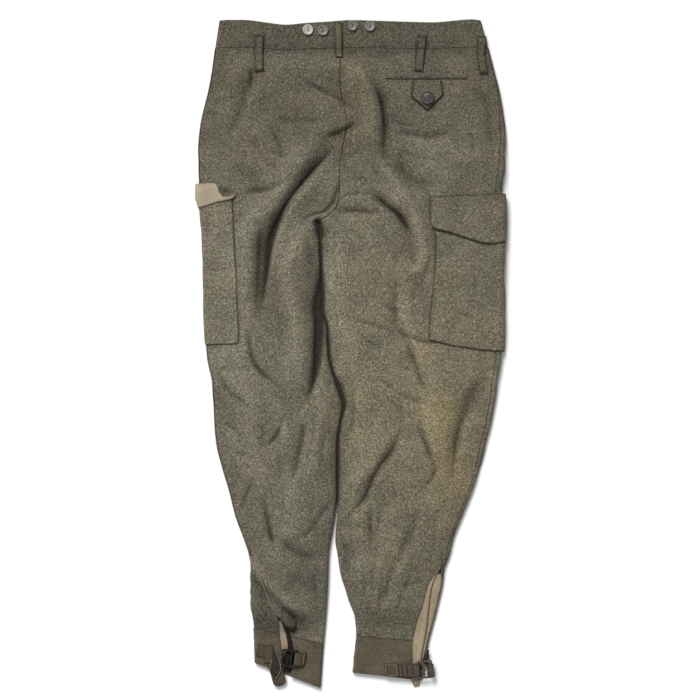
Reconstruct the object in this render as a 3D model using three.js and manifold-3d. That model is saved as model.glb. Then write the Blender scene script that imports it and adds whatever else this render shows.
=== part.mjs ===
// Wool field trousers with cargo pockets and buckled ankles, laid flat with the back uppermost.
// Millimetres. +X is to the right of someone looking down at the back, +Y runs to the waist, +Z is up,
// and the surface that the garment lies on is Z = 0.
// Places on the garment are given as x and "down", the distance below the highest point of the waist.
import * as THREE from "three";
import { mergeVertices } from "three/addons/utils/BufferGeometryUtils.js";
import Module from "manifold-3d";

const wasm = await Module();
wasm.setup();

// Driving sizes
const LENGTH = 1069; // waist to hem, along the back
const WAISTBAND_DEPTH = 43;
const WOOL = 2; // thickness of one layer of the fulled wool
const BAND = 2.6; // the waistband's doubled cloth
const CANVAS = 1.6; // ankle cuffs
const LINING = 0.8; // light cotton of the ankle gussets
const POCKET = 1.8; // cargo pocket cloth
const FLAP = 2.2; // cargo flap, wool with its lining
const WEBBING = 1.5; // ankle straps
const SEAM_GAP = 0.5; // between pieces that are sewn edge to edge
const LAY_GAP = 0.35; // between a piece and the cloth that it lies on
const EDGE_RADIUS = 3.2; // how far in from its edge a laid leg rounds over
const BAND_LEVEL = 4.8; // middle of the upper layer at the waistband and the cuffs
const LEG_LEVEL = 6.4; // the same over the seat and legs, where the layers puff apart
const LOWEST_TOP = 4.2; // the upper layer never sinks further
const ABOVE_ALL = 100; // a height above everything
const NEAREST_LAYERS = 3.2; // least distance between the middles of the two layers
const LEGS_PART = 794; // from here down there is a space between the two legs

const table = (columns, rows) =>
  rows.map((row) => Object.fromEntries(columns.map((name, i) => [name, row[i]])));

// Sections across each half of the garment. outer is the x of its outer edge, and drop is how much lower the
// inner edge is. frontSeam and backSeam are the distances, over the cloth from the outer edge, at which the
// front panel ends and the back panel starts; they part where the ankle is slit. innerEdge is the x of the
// leg's inner edge below the place where the legs part.
const COLUMNS = ["down", "outer", "frontSeam", "backSeam", "drop"];
const LEFT = {
  name: "left",
  inward: 1,
  sections: table(COLUMNS, [
    [2, -213, 2, 2, -1],
    [44, -219.5, 2, 2, 0],
    [84, -225, 2, 2, 0],
    [116, -231, 2, 2, 0],
    [144, -238, 2, 2, 0],
    [168, -243, 2, 2, 0],
    [200, -246.5, 2, 2, 0],
    [236, -248, 2, 2, 0],
    [280, -246, 2, 2, 0],
    [300, -244, 2, 2, 0],
    [312, -243, 2, 2, 0],
    [324, -242, 2, 2, 0],
    [345, -240, 2, 2, 0],
    [424, -239, 2, 2, 0],
    [462, -238.5, 2, 2, 0],
    [488, -237.5, 2, 2, 0],
    [538, -234.5, 2, 2, 0],
    [582, -225.6, 2, 2, 0],
    [616, -222, 2, 2, 0],
    [648, -220.5, 2, 2, 0],
    [678, -217.6, 2, 2, 0],
    [717, -208, 2, 2, 0],
    [755, -196.8, 2, 2, 0],
    [794, -187, 2, 2, 0],
    [832, -172.8, 2, 2, 0],
    [858, -165, 3, 3, 2],
    [880, -163.2, 12, 12, 5],
    [904, -163.2, 22, 22, 9],
    [933, -163, 34, 34, 15],
    [952, -161, 43, 46, 19],
    [973, -158.4, 41.5, 60, 26],
    [1000, -157, 44, 64, 32],
    [1029, -156, 45, 56, 40],
  ]),
  innerEdge: table(["down", "x"], [
    [794, -27.5], [832, -33.5], [858, -37], [880, -37.8], [904, -38.8], [933, -41],
    [952, -42.8], [973, -45.2], [1000, -47.5], [1029, -50],
  ]),
};
const RIGHT = {
  name: "right",
  inward: -1,
  sections: table(COLUMNS, [
    [2, 207, 2, 2, -1],
    [44, 219, 2, 2, 0],
    [84, 229, 2, 2, 0],
    [116, 237, 3, 3, 0],
    [144, 242, 5, 5, 0],
    [168, 245.5, 8, 8, 0],
    [200, 249, 10, 10, 0],
    [236, 252.5, 12, 12, 0],
    [262, 247.5, 12, 12, 0],
    [280, 247, 12, 12, 0],
    [300, 248, 12, 12, 0],
    [312, 248, 12, 12, 0],
    [324, 248, 12, 12, 0],
    [345, 247.5, 12, 12, 0],
    [424, 245, 12, 12, 0],
    [462, 244.5, 12, 12, 0],
    [488, 245, 12, 12, 0],
    [538, 244, 11, 11, 0],
    [582, 237, 11, 11, 0],
    [616, 231, 10.5, 10.5, 0],
    [648, 225, 10.5, 10.5, 0],
    [678, 216.5, 9.5, 9.5, 0],
    [717, 205, 6.5, 6.5, 0],
    [755, 192, 5, 5, 0],
    [794, 176.5, 5, 5, 0],
    [832, 162, 5, 5, 0],
    [858, 156, 5, 5, 0],
    [880, 148, 5, 6, 0],
    [894, 145.5, 5, 15, -1],
    [910, 143, 4.5, 21.5, -2],
    [935, 138, 4, 23.5, -4],
    [960, 132, 3, 26, -7],
    [996, 122.5, 2.5, 24.5, -10.5],
    [1022, 118, 2.5, 20.5, -11.5],
    [1057, 112, 2.5, 14, -12.5],
  ]),
  innerEdge: table(["down", "x"], [
    [794, -24], [832, -27], [858, -23], [880, -20], [894, -17], [910, -12],
    [935, -5], [960, 3.5], [996, 6.4], [1022, 3.5], [1057, 0.5],
  ]),
};

const CUFF_SEAM = { left: 973, right: 996 }; // where the canvas is sewn on, at the outer edge
const HEM = { left: 1029, right: 1057 };

// The line down the middle: the centre-back seam, and below the crotch the line where the legs meet
const MIDDLE = table(["down", "left", "right"], [
  [2, -17.6, -17.3],
  [44, -19, -18.7],
  [84, -19.2, -18.9],
  [116, -18, -17.7],
  [144, -12, -11.7],
  [168, -8.5, -8.2],
  [200, -14.4, -14.1],
  [236, -19.2, -18.9],
  [280, -20.5, -20.2],
  [300, -25.6, -25.1],
  [312, -37.6, -36.2],
  [324, -53.6, -51.6],
  [345, -52.6, -50.6],
  [424, -49.5, -47.5],
  [462, -49.5, -47.5],
  [488, -41, -39],
  [538, -37.5, -35.5],
  [582, -26, -24],
  [616, -14.5, -12.5],
  [648, -20.5, -18.5],
  [678, -24, -22],
  [717, -24.2, -22.2],
  [755, -24.2, -22.2],
  [794, -27.5, -24],
]);

// The waist's top edge as it lies: how much lower than straight it is
const WAIST_WAVE = table(["x", "dip"], [
  [-230, 1], [-200, -2], [-175, -2], [-140, 2], [-105, 6], [-75, 3.5], [-40, 1.5], [0, -1], [60, 0.5],
  [130, 2], [165, -1], [190, -3], [215, 0],
]);

// The largest folds. Each is a ridge that follows a path of [x, down] points. plus is its half-width on the
// right of a path that runs down, or above one that runs to the right, and minus is the other one.
const FOLDS = [
  { name: "seat to left thigh", rise: 9.5, minus: 30, plus: 11,
    path: [[-22, 168], [-55, 190], [-80, 226], [-112, 284], [-131, 312], [-144, 352], [-147, 388], [-156, 432]] },
  { name: "left thigh, inner side", rise: 8, minus: 20, plus: 20,
    path: [[-58, 326], [-80, 350], [-96, 385], [-97, 424], [-88, 468], [-84, 520], [-92, 580], [-110, 640]] },
  { name: "right seat", rise: 8, minus: 26, plus: 10,
    path: [[-8, 66], [14, 92], [32, 130], [37, 180], [35, 218]] },
  { name: "right thigh arc", rise: 9.5, minus: 11, plus: 28,
    path: [[34, 262], [64, 282], [90, 306], [103, 328], [111, 356], [114, 405]] },
  { name: "right thigh swell", rise: 4, minus: 48, plus: 52, path: [[6, 350], [14, 420], [14, 500], [28, 570]] },
  { name: "right inner edge", rise: 6.5, minus: 18, plus: 30,
    path: [[-38, 334], [-34, 380], [-30, 430], [-30, 470], [-22, 500], [-15, 545], [0, 600]] },
  { name: "left seat swell", rise: 3, minus: 55, plus: 55, path: [[-105, 100], [-120, 160], [-135, 215]] },
  { name: "right seat swell", rise: 2.5, minus: 45, plus: 50, path: [[120, 130], [130, 190], [150, 240]] },
  { name: "back of right knee", rise: 5.5, minus: 22, plus: 11,
    path: [[62, 652], [42, 690], [26, 716], [6, 745], [-8, 780]] },
  { name: "stained side of right knee", rise: 4.5, minus: 11, plus: 26,
    path: [[112, 606], [126, 655], [138, 700], [146, 738]] },
  { name: "right thigh beside the pocket", rise: 5, minus: 15, plus: 22,
    path: [[82, 400], [84, 465], [98, 510], [118, 560], [128, 600]] },
  { name: "left thigh beside the pocket", rise: 4, minus: 16, plus: 18,
    path: [[-162, 300], [-160, 380], [-166, 460], [-172, 545]] },
  { name: "outside of left knee", rise: 4, minus: 24, plus: 26, path: [[-172, 600], [-150, 680], [-138, 740]] },
  { name: "left calf", rise: 5, minus: 26, plus: 20, path: [[-60, 640], [-66, 700], [-90, 770], [-92, 860], [-80, 940]] },
  { name: "right calf", rise: 4, minus: 18, plus: 24, path: [[70, 790], [64, 870], [58, 950]] },
];
const FOLD_STEPS = 4; // straight pieces between two points of a fold's path

// Pockets and flaps, as outlines in [x, down]
const POCKET_RIGHT = [[124.5, 283], [128, 324], [133, 350], [131, 410], [125, 465], [121.5, 512],
  [160, 522], [205, 528], [262, 531], [262, 283]];
const POCKET_LEFT = [[-190.5, 286], [-188, 330], [-184, 400], [-181.5, 460], [-179.5, 505], [-184, 519],
  [-205, 520], [-262, 519], [-262, 290]];
const FLAP_RIGHT = [[124, 283], [123.5, 325], [127.5, 335], [160, 342], [196, 354], [222, 359], [240, 359],
  [262, 352], [262, 276], [215, 280]];
const FLAP_LEFT = [[-264, 263], [-216, 260.5], [-210, 279], [-204.5, 285.5], [-191, 283.5], [-187.5, 276],
  [-186.5, 280], [-191, 288], [-212, 292], [-250, 304], [-264, 307]];
const POCKET_UNDER = { left: -115, right: 185 }; // the x at which the pockets' hidden halves end underneath
const POCKET_ROWS = [268, 536]; // the sections between which a pocket lies
const FLAP_ROWS = [256, 372];
const SEAT_TAB = [[98.5, 96.2], [142, 96.2], [146, 121.5], [120, 146], [94.5, 126.5]];
const SEAT_WELT = [[53, 92.5], [184, 92.5], [184, 96], [53, 96]];
const SEAT_BUTTON = { x: 120, down: 126, radius: 11, height: 4.6 };
const BRACE_BUTTONS = table(["name", "x", "down", "light"], [
  ["brace_button_1", -70.4, 16, true],
  ["brace_button_2", -46.4, 17, false],
  ["brace_button_3", 0.5, 9.5, false],
  ["brace_button_4", 28.8, 10, false],
]);
const BRACE_BUTTON = { radius: 8.5, height: 3.2, holes: 4, holeRadius: 1.1, holeSpread: 2.2 };
// Belt loops, from their upper bar tack to the lower one
const BELT_LOOPS = table(["name", "top", "bottom", "width", "lean"], [
  ["belt_loop_left", [-147.5, 24], [-148, 83.5], 14, 1.2],
  ["belt_loop_centre", [-22.5, 3.5], [-20.8, 60.5], 11.5, 0],
  ["belt_loop_right", [112.6, 25], [105.8, 83.5], 14, 0],
  ["belt_loop_side", [208.5, 25.5], [210.8, 87], 13.5, 3.5],
]);
const LOOP_THICKNESS = 1.8;
const LOOP_ARCH = 1.6; // how far the middle of a belt loop stands off the cloth

const SEAT_WELT_THICKNESS = 1.2;
const STRIP_STEP = 5; // spacing of the points along a strip that lies on the cloth
const STRIP_REACH = 3.7; // a point of a strip rests on the highest cloth this near to it

// Ankles
const SLIT_ABOVE_HEM = 2; // the lining ends this much above the hem
const SLIT_GAP = 0.8; // between the lining in a slit and the slit's edges
const GUSSET_INSET = 0.4; // how far the lining lies below the cloth beside it
const STRAP_WIDTH = 21;
const LOOP_SLACK = 0.5; // between a buckle's bar and the strap round it
const BUCKLE = { width: 26, depth: 28.5, bar: 3, thickness: 2, prong: 5 };
const RIGHT_STRAP = { bar: 105, down: 1040, patch: 52, edge: 120, tilt: 0.12 };
const LEFT_STRAP = { bar: -88, down: 1022, patch: -73, tilt: -0.1,
  front: [[-155, 1009], [-134, 1014], [-124, 1019]], keeper: [[-134, 1000], [-133, 1029]],
  tail: [[-118, 1030], [-114, 1052]] };

const { clamp, smoothstep, lerp } = THREE.MathUtils;

// Value of a column at a distance down, on a smooth curve that doesn't overshoot
function along(rows, key, column, at) {
  const last = rows.length - 1;
  let i = 0;
  while (i < last - 1 && at > rows[i + 1][key]) i++;
  const slope = (k) =>
    k < 0 || k >= last ? null : (rows[k + 1][column] - rows[k][column]) / (rows[k + 1][key] - rows[k][key]);
  const tangent = (k) => {
    const before = slope(k - 1) ?? slope(k);
    const after = slope(k) ?? slope(k - 1);
    return before * after <= 0 ? 0 : (2 * before * after) / (before + after);
  };
  const span = rows[i + 1][key] - rows[i][key];
  const t = clamp((at - rows[i][key]) / span, 0, 1);
  const u = 1 - t;
  return (
    rows[i][column] * u * u * (1 + 2 * t) + rows[i + 1][column] * t * t * (3 - 2 * t) +
    span * t * u * (tangent(i) * u - tangent(i + 1) * t)
  );
}

// Folds
for (const fold of FOLDS) {
  const curve = new THREE.CatmullRomCurve3(fold.path.map(([x, down]) => new THREE.Vector3(x, down, 0)));
  fold.line = curve.getPoints(FOLD_STEPS * (fold.path.length - 1));
}

function foldHeight(fold, x, down) {
  let nearest = Infinity;
  let side = 0;
  let share = 0;
  for (let i = 0; i < fold.line.length - 1; i++) {
    const a = fold.line[i];
    const b = fold.line[i + 1];
    const dx = b.x - a.x;
    const dy = b.y - a.y;
    const t = clamp(((x - a.x) * dx + (down - a.y) * dy) / (dx * dx + dy * dy), 0, 1);
    const offX = x - a.x - t * dx;
    const offY = down - a.y - t * dy;
    const distance = Math.hypot(offX, offY);
    if (distance < nearest) {
      nearest = distance;
      side = offX * dy - offY * dx;
      share = (i + t) / (fold.line.length - 1);
    }
  }
  const width = side > 0 ? fold.plus : fold.minus;
  const fade = smoothstep(share, 0, 0.18) * (1 - smoothstep(share, 0.8, 1));
  return fold.rise * (0.25 + 0.75 * fade) * Math.exp(-((nearest / width) ** 2));
}

// Height of the middle of the upper layer
function topLevel(x, down) {
  const puff = smoothstep(down, 44, 120) * (1 - smoothstep(down, 900, 975));
  const folds = FOLDS.reduce((sum, fold) => sum + foldHeight(fold, x, down), 0);
  return Math.max(lerp(BAND_LEVEL, LEG_LEVEL, puff) + folds * puff, LOWEST_TOP);
}

// 1 inside a rectangle, falling to 0 over `ramp` outside it
function within(x, down, [x0, x1], [down0, down1], ramp) {
  const away = Math.max(x0 - x, x - x1, down0 - down, down - down1, 0);
  return 1 - smoothstep(away, 0, ramp);
}

// How far the lower layer is lifted by what is folded under it
function underLift(x, down) {
  const margin = 36;
  const ramp = 30;
  const rows = [POCKET_ROWS[0] - margin, POCKET_ROWS[1] + margin];
  const flapRows = [FLAP_ROWS[0] - margin, FLAP_ROWS[1] + margin];
  const leftSpan = [-300, POCKET_UNDER.left + margin];
  const rightSpan = [POCKET_UNDER.right - margin, 300];
  const pockets = within(x, down, leftSpan, rows, ramp) + within(x, down, rightSpan, rows, ramp);
  return (POCKET + LAY_GAP) * pockets + (FLAP + LAY_GAP) * within(x, down, rightSpan, flapRows, ramp);
}

// 0 where the two halves are sewn together down the middle, 1 where they are separate legs
const splitShare = (down) => smoothstep(down, 310, 340);

// The middle of the cloth at the two edges of a half, and how wide that half lies
function edgesOf(half, down, cloth) {
  const outside = along(half.sections, "down", "outer", down);
  const inside = down < LEGS_PART
    ? along(MIDDLE, "down", half.name, down)
    : along(half.innerEdge, "down", "x", down);
  const outer = outside + half.inward * (cloth / 2 + underLift(outside, down));
  const inner = inside - (half.inward * cloth * splitShare(down)) / 2;
  return { outer, inner, width: Math.abs(inner - outer) };
}

// One half of the garment is a flattened ring at every section. `round` is the distance along that ring:
// 0 at the outer edge, positive underneath as far as the inner edge at `width`, then back over the top to
// 2 * width; negative values run from the outer edge over the top.
function ringPoint(half, down, round, cloth) {
  const { outer, width } = edgesOf(half, down, cloth);
  const share = splitShare(down);
  const under = round >= 0 && round <= width;
  const fromOuter = Math.abs(under || round < 0 ? round : 2 * width - round);
  const fromInner = Math.max(width - fromOuter, 0);
  const innerRadius = Math.max(EDGE_RADIUS * share, 0.01);
  const quarter = Math.PI / 2;
  let across = fromOuter;
  let rise = 1;
  if (fromOuter < EDGE_RADIUS) {
    across = EDGE_RADIUS * (1 - Math.cos((fromOuter / EDGE_RADIUS) * quarter));
    rise = Math.sin((fromOuter / EDGE_RADIUS) * quarter);
  } else if (fromInner < innerRadius) {
    const turn = (fromInner / innerRadius) * quarter;
    across = width - innerRadius * (1 - Math.cos(turn));
    rise = lerp(1, Math.sin(turn), share);
  }
  const x = outer + half.inward * across;
  const fade = 1 - smoothstep(down, 0, 90);
  const drop = (along(half.sections, "down", "drop", down) * across) / width;
  const place = down + drop + along(WAIST_WAVE, "x", "dip", x) * fade;
  const low = cloth / 2 + underLift(x, place);
  const high = Math.max(topLevel(x, place) + underLift(x, place), low + NEAREST_LAYERS);
  const middle = (low + high) / 2;
  return new THREE.Vector3(x, LENGTH / 2 - place, middle + ((under ? low : high) - middle) * rise);
}

// Outward direction of the cloth at a point of the ring
function ringNormal(half, down, round, cloth) {
  const step = 0.6;
  const { width } = edgesOf(half, down, cloth);
  const around = ringPoint(half, down, round + step, cloth).sub(ringPoint(half, down, round - step, cloth));
  const lengthwise = ringPoint(half, down + step, round, cloth).sub(ringPoint(half, down - step, round, cloth));
  const normal = around.cross(lengthwise).multiplyScalar(half.inward).normalize();
  const under = round >= 0 && round <= width;
  const fromInner = Math.abs(width - (under ? round : round < 0 ? -round : 2 * width - round));
  const upright = new THREE.Vector3(0, 0, under ? -1 : 1);
  const hold = (1 - splitShare(down)) * (1 - smoothstep(fromInner, 0, EDGE_RADIUS));
  if (hold > 0.97) return upright;
  return normal.lerp(upright, hold).normalize();
}

// A closed wall between two grids of points of the same size
function wallBetween(outside, inside) {
  const rows = outside.length;
  const columns = outside[0].length;
  const points = [...outside.flat(), ...inside.flat()];
  const outerAt = (r, c) => r * columns + c;
  const innerAt = (r, c) => rows * columns + outerAt(r, c);
  const faces = [];
  const quad = (a, b, c, d) => faces.push(a, b, c, a, c, d);
  for (let r = 0; r < rows - 1; r++) {
    for (let c = 0; c < columns - 1; c++) {
      quad(outerAt(r, c), outerAt(r, c + 1), outerAt(r + 1, c + 1), outerAt(r + 1, c));
      quad(innerAt(r, c), innerAt(r + 1, c), innerAt(r + 1, c + 1), innerAt(r, c + 1));
    }
    quad(outerAt(r, 0), outerAt(r + 1, 0), innerAt(r + 1, 0), innerAt(r, 0));
    const end = columns - 1;
    quad(outerAt(r + 1, end), outerAt(r, end), innerAt(r, end), innerAt(r + 1, end));
  }
  for (let c = 0; c < columns - 1; c++) {
    quad(outerAt(0, c + 1), outerAt(0, c), innerAt(0, c), innerAt(0, c + 1));
    quad(outerAt(rows - 1, c), outerAt(rows - 1, c + 1), innerAt(rows - 1, c + 1), innerAt(rows - 1, c));
  }
  const geometry = new THREE.BufferGeometry().setFromPoints(points);
  geometry.setIndex(faces);
  if (solidOf(geometry).volume() < 0) geometry.setIndex(faces.reverse());
  return geometry;
}

// Joins and cuts
function solidOf(geometry) {
  const bare = geometry.clone();
  bare.deleteAttribute("normal");
  bare.deleteAttribute("uv");
  const merged = mergeVertices(bare, 1e-4);
  return new wasm.Manifold(new wasm.Mesh({
    numProp: 3,
    vertProperties: merged.attributes.position.array,
    triVerts: new Uint32Array(merged.index.array),
  }));
}

function geometryOf(solid) {
  const { vertProperties, triVerts } = solid.getMesh();
  const geometry = new THREE.BufferGeometry();
  geometry.setAttribute("position", new THREE.BufferAttribute(new Float32Array(vertProperties), 3));
  return geometry.setIndex(new THREE.BufferAttribute(triVerts, 1));
}

const largest = (solid) => solid.decompose().sort((a, b) => b.volume() - a.volume())[0];

// An upright prism over an outline of [x, down] points
function prism(outline, low, high) {
  const shape = new THREE.Shape(outline.map(([x, down]) => new THREE.Vector2(x, LENGTH / 2 - down)));
  const extruded = new THREE.ExtrudeGeometry(shape, { depth: high - low, bevelEnabled: false });
  return solidOf(extruded.translate(0, 0, low));
}

const spread = (from, to, count) => Array.from({ length: count }, (_, i) => lerp(from, to, i / (count - 1)));

// Distances round the ring at which each kind of piece has its columns, and downs at which it has its rows
const EDGE_COLUMNS = [0, 0.5];
const SEAT_COLUMNS = 16;
const UNDER_COLUMNS = 5;

function backColumns(half, down, cloth) {
  const { width } = edgesOf(half, down, cloth);
  const start = along(half.sections, "down", "backSeam", down) + SEAM_GAP / 2;
  const middle = spread(start + EDGE_RADIUS, width - EDGE_RADIUS, SEAT_COLUMNS);
  const end = width - SEAM_GAP / 2;
  return [
    ...EDGE_COLUMNS.map((share) => start + share * EDGE_RADIUS), ...middle,
    ...EDGE_COLUMNS.map((share) => end - share * EDGE_RADIUS).reverse(),
  ].map((fromOuter) => 2 * width - fromOuter).reverse();
}

function frontColumns(half, down, cloth) {
  const { width } = edgesOf(half, down, cloth);
  const seam = along(half.sections, "down", "frontSeam", down) - SEAM_GAP / 2;
  const end = width - SEAM_GAP / 2;
  return [
    ...[1, 0.5].map((share) => -seam * share ** 1.6),
    ...EDGE_COLUMNS.map((share) => share * EDGE_RADIUS),
    ...spread(EDGE_RADIUS, width - EDGE_RADIUS, UNDER_COLUMNS),
    ...EDGE_COLUMNS.map((share) => end - share * EDGE_RADIUS).reverse(),
  ];
}

// Points of the ring for some rows and columns, moved out along the cloth's own normal
function ringGrid(half, downs, columnsAt, cloth, out) {
  return downs.map((down) =>
    columnsAt(half, down, cloth).map((round) =>
      ringPoint(half, down, round, cloth).addScaledVector(ringNormal(half, down, round, cloth), out)));
}

const ringWall = (half, downs, columnsAt, cloth, inset = 0) =>
  wallBetween(
    ringGrid(half, downs, columnsAt, cloth, cloth / 2 - inset),
    ringGrid(half, downs, columnsAt, cloth, -cloth / 2 - inset),
  );

// Materials
const material = (name, color, roughness, metalness = 0) =>
  new THREE.MeshStandardMaterial({ name, color, roughness, metalness });
const wool = material("wool", 0x66614f, 0.95);
const canvas = material("canvas", 0x5a5044, 0.9);
const cotton = material("cotton", 0xada08a, 0.9);
const webbing = material("webbing", 0x50463a, 0.85);
const steel = material("steel", 0x4a4640, 0.45, 0.8);
const paleButton = material("pale_button", 0xa9a7a1, 0.5);
const greyButton = material("grey_button", 0x72726a, 0.6);

const garment = new THREE.Group();
garment.name = "field_trousers";

function add(name, geometry, finish) {
  const mesh = new THREE.Mesh(geometry, finish);
  mesh.name = name;
  garment.add(mesh);
  return mesh;
}

// Panels of the two halves
const SEAT_ROWS = [284, 298, 311, 324, 337, 352]; // closer together where the crotch curves
const WAIST_TOP = 2;
const BAND_SEAM = WAIST_TOP + WAISTBAND_DEPTH;
const CUFF_ROWS = 4;
const BAND_ROWS = 3;

const panelDowns = (half) => [
  ...spread(BAND_SEAM + SEAM_GAP / 2, 260, 9), ...SEAT_ROWS,
  ...spread(378, CUFF_SEAM[half.name] - SEAM_GAP / 2, 24),
];
const cuffDowns = (half) => spread(CUFF_SEAM[half.name] + SEAM_GAP / 2, HEM[half.name], CUFF_ROWS);

// Columns from the inner edge on top, round the outer edge and back to the inner edge underneath
function wholeColumns(half, down, cloth) {
  const { width } = edgesOf(half, down, cloth);
  const over = backColumns(half, down, cloth).map((round) => round - 2 * width);
  return [...over, ...frontColumns(half, down, cloth).slice(1)];
}

// The cuff runs from the front edge of the ankle's slit, underneath and round the inner edge, to its back edge
const cuffColumns = (half, down, cloth) =>
  [...frontColumns(half, down, cloth), ...backColumns(half, down, cloth).slice(1)];

// The gusset fills the ankle's slit
const slitAt = (half, down) =>
  along(half.sections, "down", "backSeam", down) - along(half.sections, "down", "frontSeam", down);

function gussetColumns(half, down) {
  const start = along(half.sections, "down", "frontSeam", down) + SLIT_GAP;
  return spread(-(start + slitAt(half, down) - 2 * SLIT_GAP), -start, 6);
}

for (const half of [LEFT, RIGHT]) {
  const { name } = half;
  add(`back_${name}`, ringWall(half, panelDowns(half), backColumns, WOOL), wool);
  add(`front_${name}`, ringWall(half, panelDowns(half), frontColumns, WOOL), wool);
  const bandDowns = spread(WAIST_TOP, BAND_SEAM - SEAM_GAP / 2, BAND_ROWS);
  add(`waistband_${name}`, ringWall(half, bandDowns, wholeColumns, BAND), wool);
  add(`cuff_${name}`, ringWall(half, cuffDowns(half), cuffColumns, CANVAS), canvas);
  const gussetDowns = [...panelDowns(half), ...cuffDowns(half)].filter((down) =>
    slitAt(half, down) > 2 * SLIT_GAP && down < HEM[name] - SLIT_ABOVE_HEM);
  add(`gusset_${name}`, ringWall(half, gussetDowns, gussetColumns, LINING, GUSSET_INSET), cotton);
}

const ROW_SPACING = 28; // the most that lies between two rows of a panel

// What is laid on a panel is made from the panel's own points, moved out, and cut to its outline
function laidOn(half, rows, columnsAt, out, thickness) {
  const [first, last] = rows;
  const downs = panelDowns(half);
  const near = downs.filter((down) => down > first - ROW_SPACING && down < last + ROW_SPACING);
  return solidOf(wallBetween(
    ringGrid(half, near, columnsAt, WOOL, WOOL / 2 + out + thickness),
    ringGrid(half, near, columnsAt, WOOL, WOOL / 2 + out),
  ));
}

const EDGE_LEVEL = 4.4; // height at which an outline from above hands over to one from below

function wrapped(half, rows, outline, underEnd, out, thickness) {
  const beyond = 320 * -half.inward;
  const [first, last] = [outline.at(-1)[1], outline.at(-2)[1]].sort((a, b) => a - b);
  const below = [[underEnd, first], [beyond, first], [beyond, last], [underEnd, last]];
  const cutter = prism(outline, EDGE_LEVEL - 0.5, ABOVE_ALL).add(prism(below, -10, EDGE_LEVEL));
  return geometryOf(largest(laidOn(half, rows, wholeColumns, out, thickness).intersect(cutter)));
}

const onPanel = LAY_GAP;
const onPocket = 2 * LAY_GAP + POCKET;
add("cargo_pocket_left", wrapped(LEFT, POCKET_ROWS, POCKET_LEFT, POCKET_UNDER.left, onPanel, POCKET), wool);
add("cargo_pocket_right", wrapped(RIGHT, POCKET_ROWS, POCKET_RIGHT, POCKET_UNDER.right, onPanel, POCKET), wool);
add("cargo_flap_right", wrapped(RIGHT, FLAP_ROWS, FLAP_RIGHT, POCKET_UNDER.right, onPocket, FLAP), wool);
const flapLeft = laidOn(LEFT, FLAP_ROWS, wholeColumns, onPocket, FLAP)
  .intersect(prism(FLAP_LEFT, EDGE_LEVEL, ABOVE_ALL));
add("cargo_flap_left", geometryOf(largest(flapLeft)), cotton);
const TAB_ROWS = [SEAT_TAB[0][1], SEAT_TAB[3][1]];
const seatTab = laidOn(RIGHT, TAB_ROWS, backColumns, onPanel, WOOL)
  .intersect(prism(SEAT_TAB, 0, ABOVE_ALL));
add("seat_pocket_tab", geometryOf(largest(seatTab)), wool);
const seatWelt = laidOn(RIGHT, TAB_ROWS, backColumns, onPanel, SEAT_WELT_THICKNESS)
  .intersect(prism(SEAT_WELT, 0, ABOVE_ALL));
add("seat_pocket_welt", geometryOf(largest(seatWelt)), wool);

// Height of whatever lies uppermost near a place
const probe = new THREE.Raycaster();
const DOWNWARD = new THREE.Vector3(0, 0, -1);

function topNear(x, down, reach, pieces) {
  let top = 0;
  for (const dx of [-reach, 0, reach]) {
    for (const dy of [-reach, 0, reach]) {
      probe.set(new THREE.Vector3(x + dx, LENGTH / 2 - down + dy, ABOVE_ALL), DOWNWARD);
      const [hit] = probe.intersectObjects(pieces, false);
      if (hit) top = Math.max(top, hit.point.z);
    }
  }
  return top;
}

const named = (...names) => names.map((name) => garment.getObjectByName(name));

// A strip that lies along a path of [x, down] points on some pieces. `rise` gives extra height by the share
// of its length, and `least` the height below which it doesn't go.
function strip(path, width, thickness, pieces, rise = () => 0, least = () => 0) {
  const points = path.map(([x, down]) => new THREE.Vector3(x, down, 0));
  const line = new THREE.CatmullRomCurve3(points, false, "chordal");
  const steps = Math.max(4, Math.round(line.getLength() / STRIP_STEP));
  const across = Math.round(width / STRIP_STEP) + 1;
  const lower = [];
  for (let i = 0; i <= steps; i++) {
    const at = line.getPointAt(i / steps);
    const tangent = line.getTangentAt(i / steps);
    const sideways = new THREE.Vector3(-tangent.y, tangent.x, 0);
    lower.push(spread(-width / 2, width / 2, across).map((offset) => {
      const point = at.clone().addScaledVector(sideways, offset);
      const top = topNear(point.x, point.y, STRIP_REACH, pieces);
      const base = Math.max(top, least(i / steps)) + LAY_GAP;
      return new THREE.Vector3(point.x, LENGTH / 2 - point.y, base + rise(i / steps));
    }));
  }
  const upper = lower.map((row) => row.map((point) => point.clone().setZ(point.z + thickness)));
  return wallBetween(upper, lower);
}

const arch = (share) => LOOP_ARCH * Math.sin(Math.PI * share);

// Belt loops
for (const loop of BELT_LOOPS) {
  const side = loop.top[0] < -18 ? "left" : "right";
  const pieces = named("waistband_left", "waistband_right", `back_${side}`, "back_left", "back_right");
  const shift = loop.lean;
  const middle = [(loop.top[0] + loop.bottom[0]) / 2 - shift, (loop.top[1] + loop.bottom[1]) / 2];
  add(loop.name, strip([loop.top, middle, loop.bottom], loop.width, LOOP_THICKNESS, pieces, arch), wool);
}

// Buttons
function button({ radius, height, holes, holeRadius, holeSpread }) {
  const rim = radius * 0.22;
  const profile = [
    [0, 0], [radius * 0.7, 0], [radius, height * 0.45], [radius * 0.97, height * 0.8], [radius - rim / 2, height],
    [radius - rim, height * 0.8], [radius * 0.5, height * 0.6], [0, height * 0.6],
  ].map(([r, z]) => new THREE.Vector2(r, z));
  let solid = solidOf(new THREE.LatheGeometry(profile, 16).rotateX(Math.PI / 2));
  for (let i = 0; i < holes; i++) {
    const angle = (Math.PI * (2 * i + 1)) / holes;
    const drill = new THREE.CylinderGeometry(holeRadius, holeRadius, 4 * height, 6).rotateX(Math.PI / 2);
    drill.translate(holeSpread * Math.cos(angle), holeSpread * Math.sin(angle), 0);
    solid = solid.subtract(solidOf(drill));
  }
  return geometryOf(solid);
}

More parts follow.
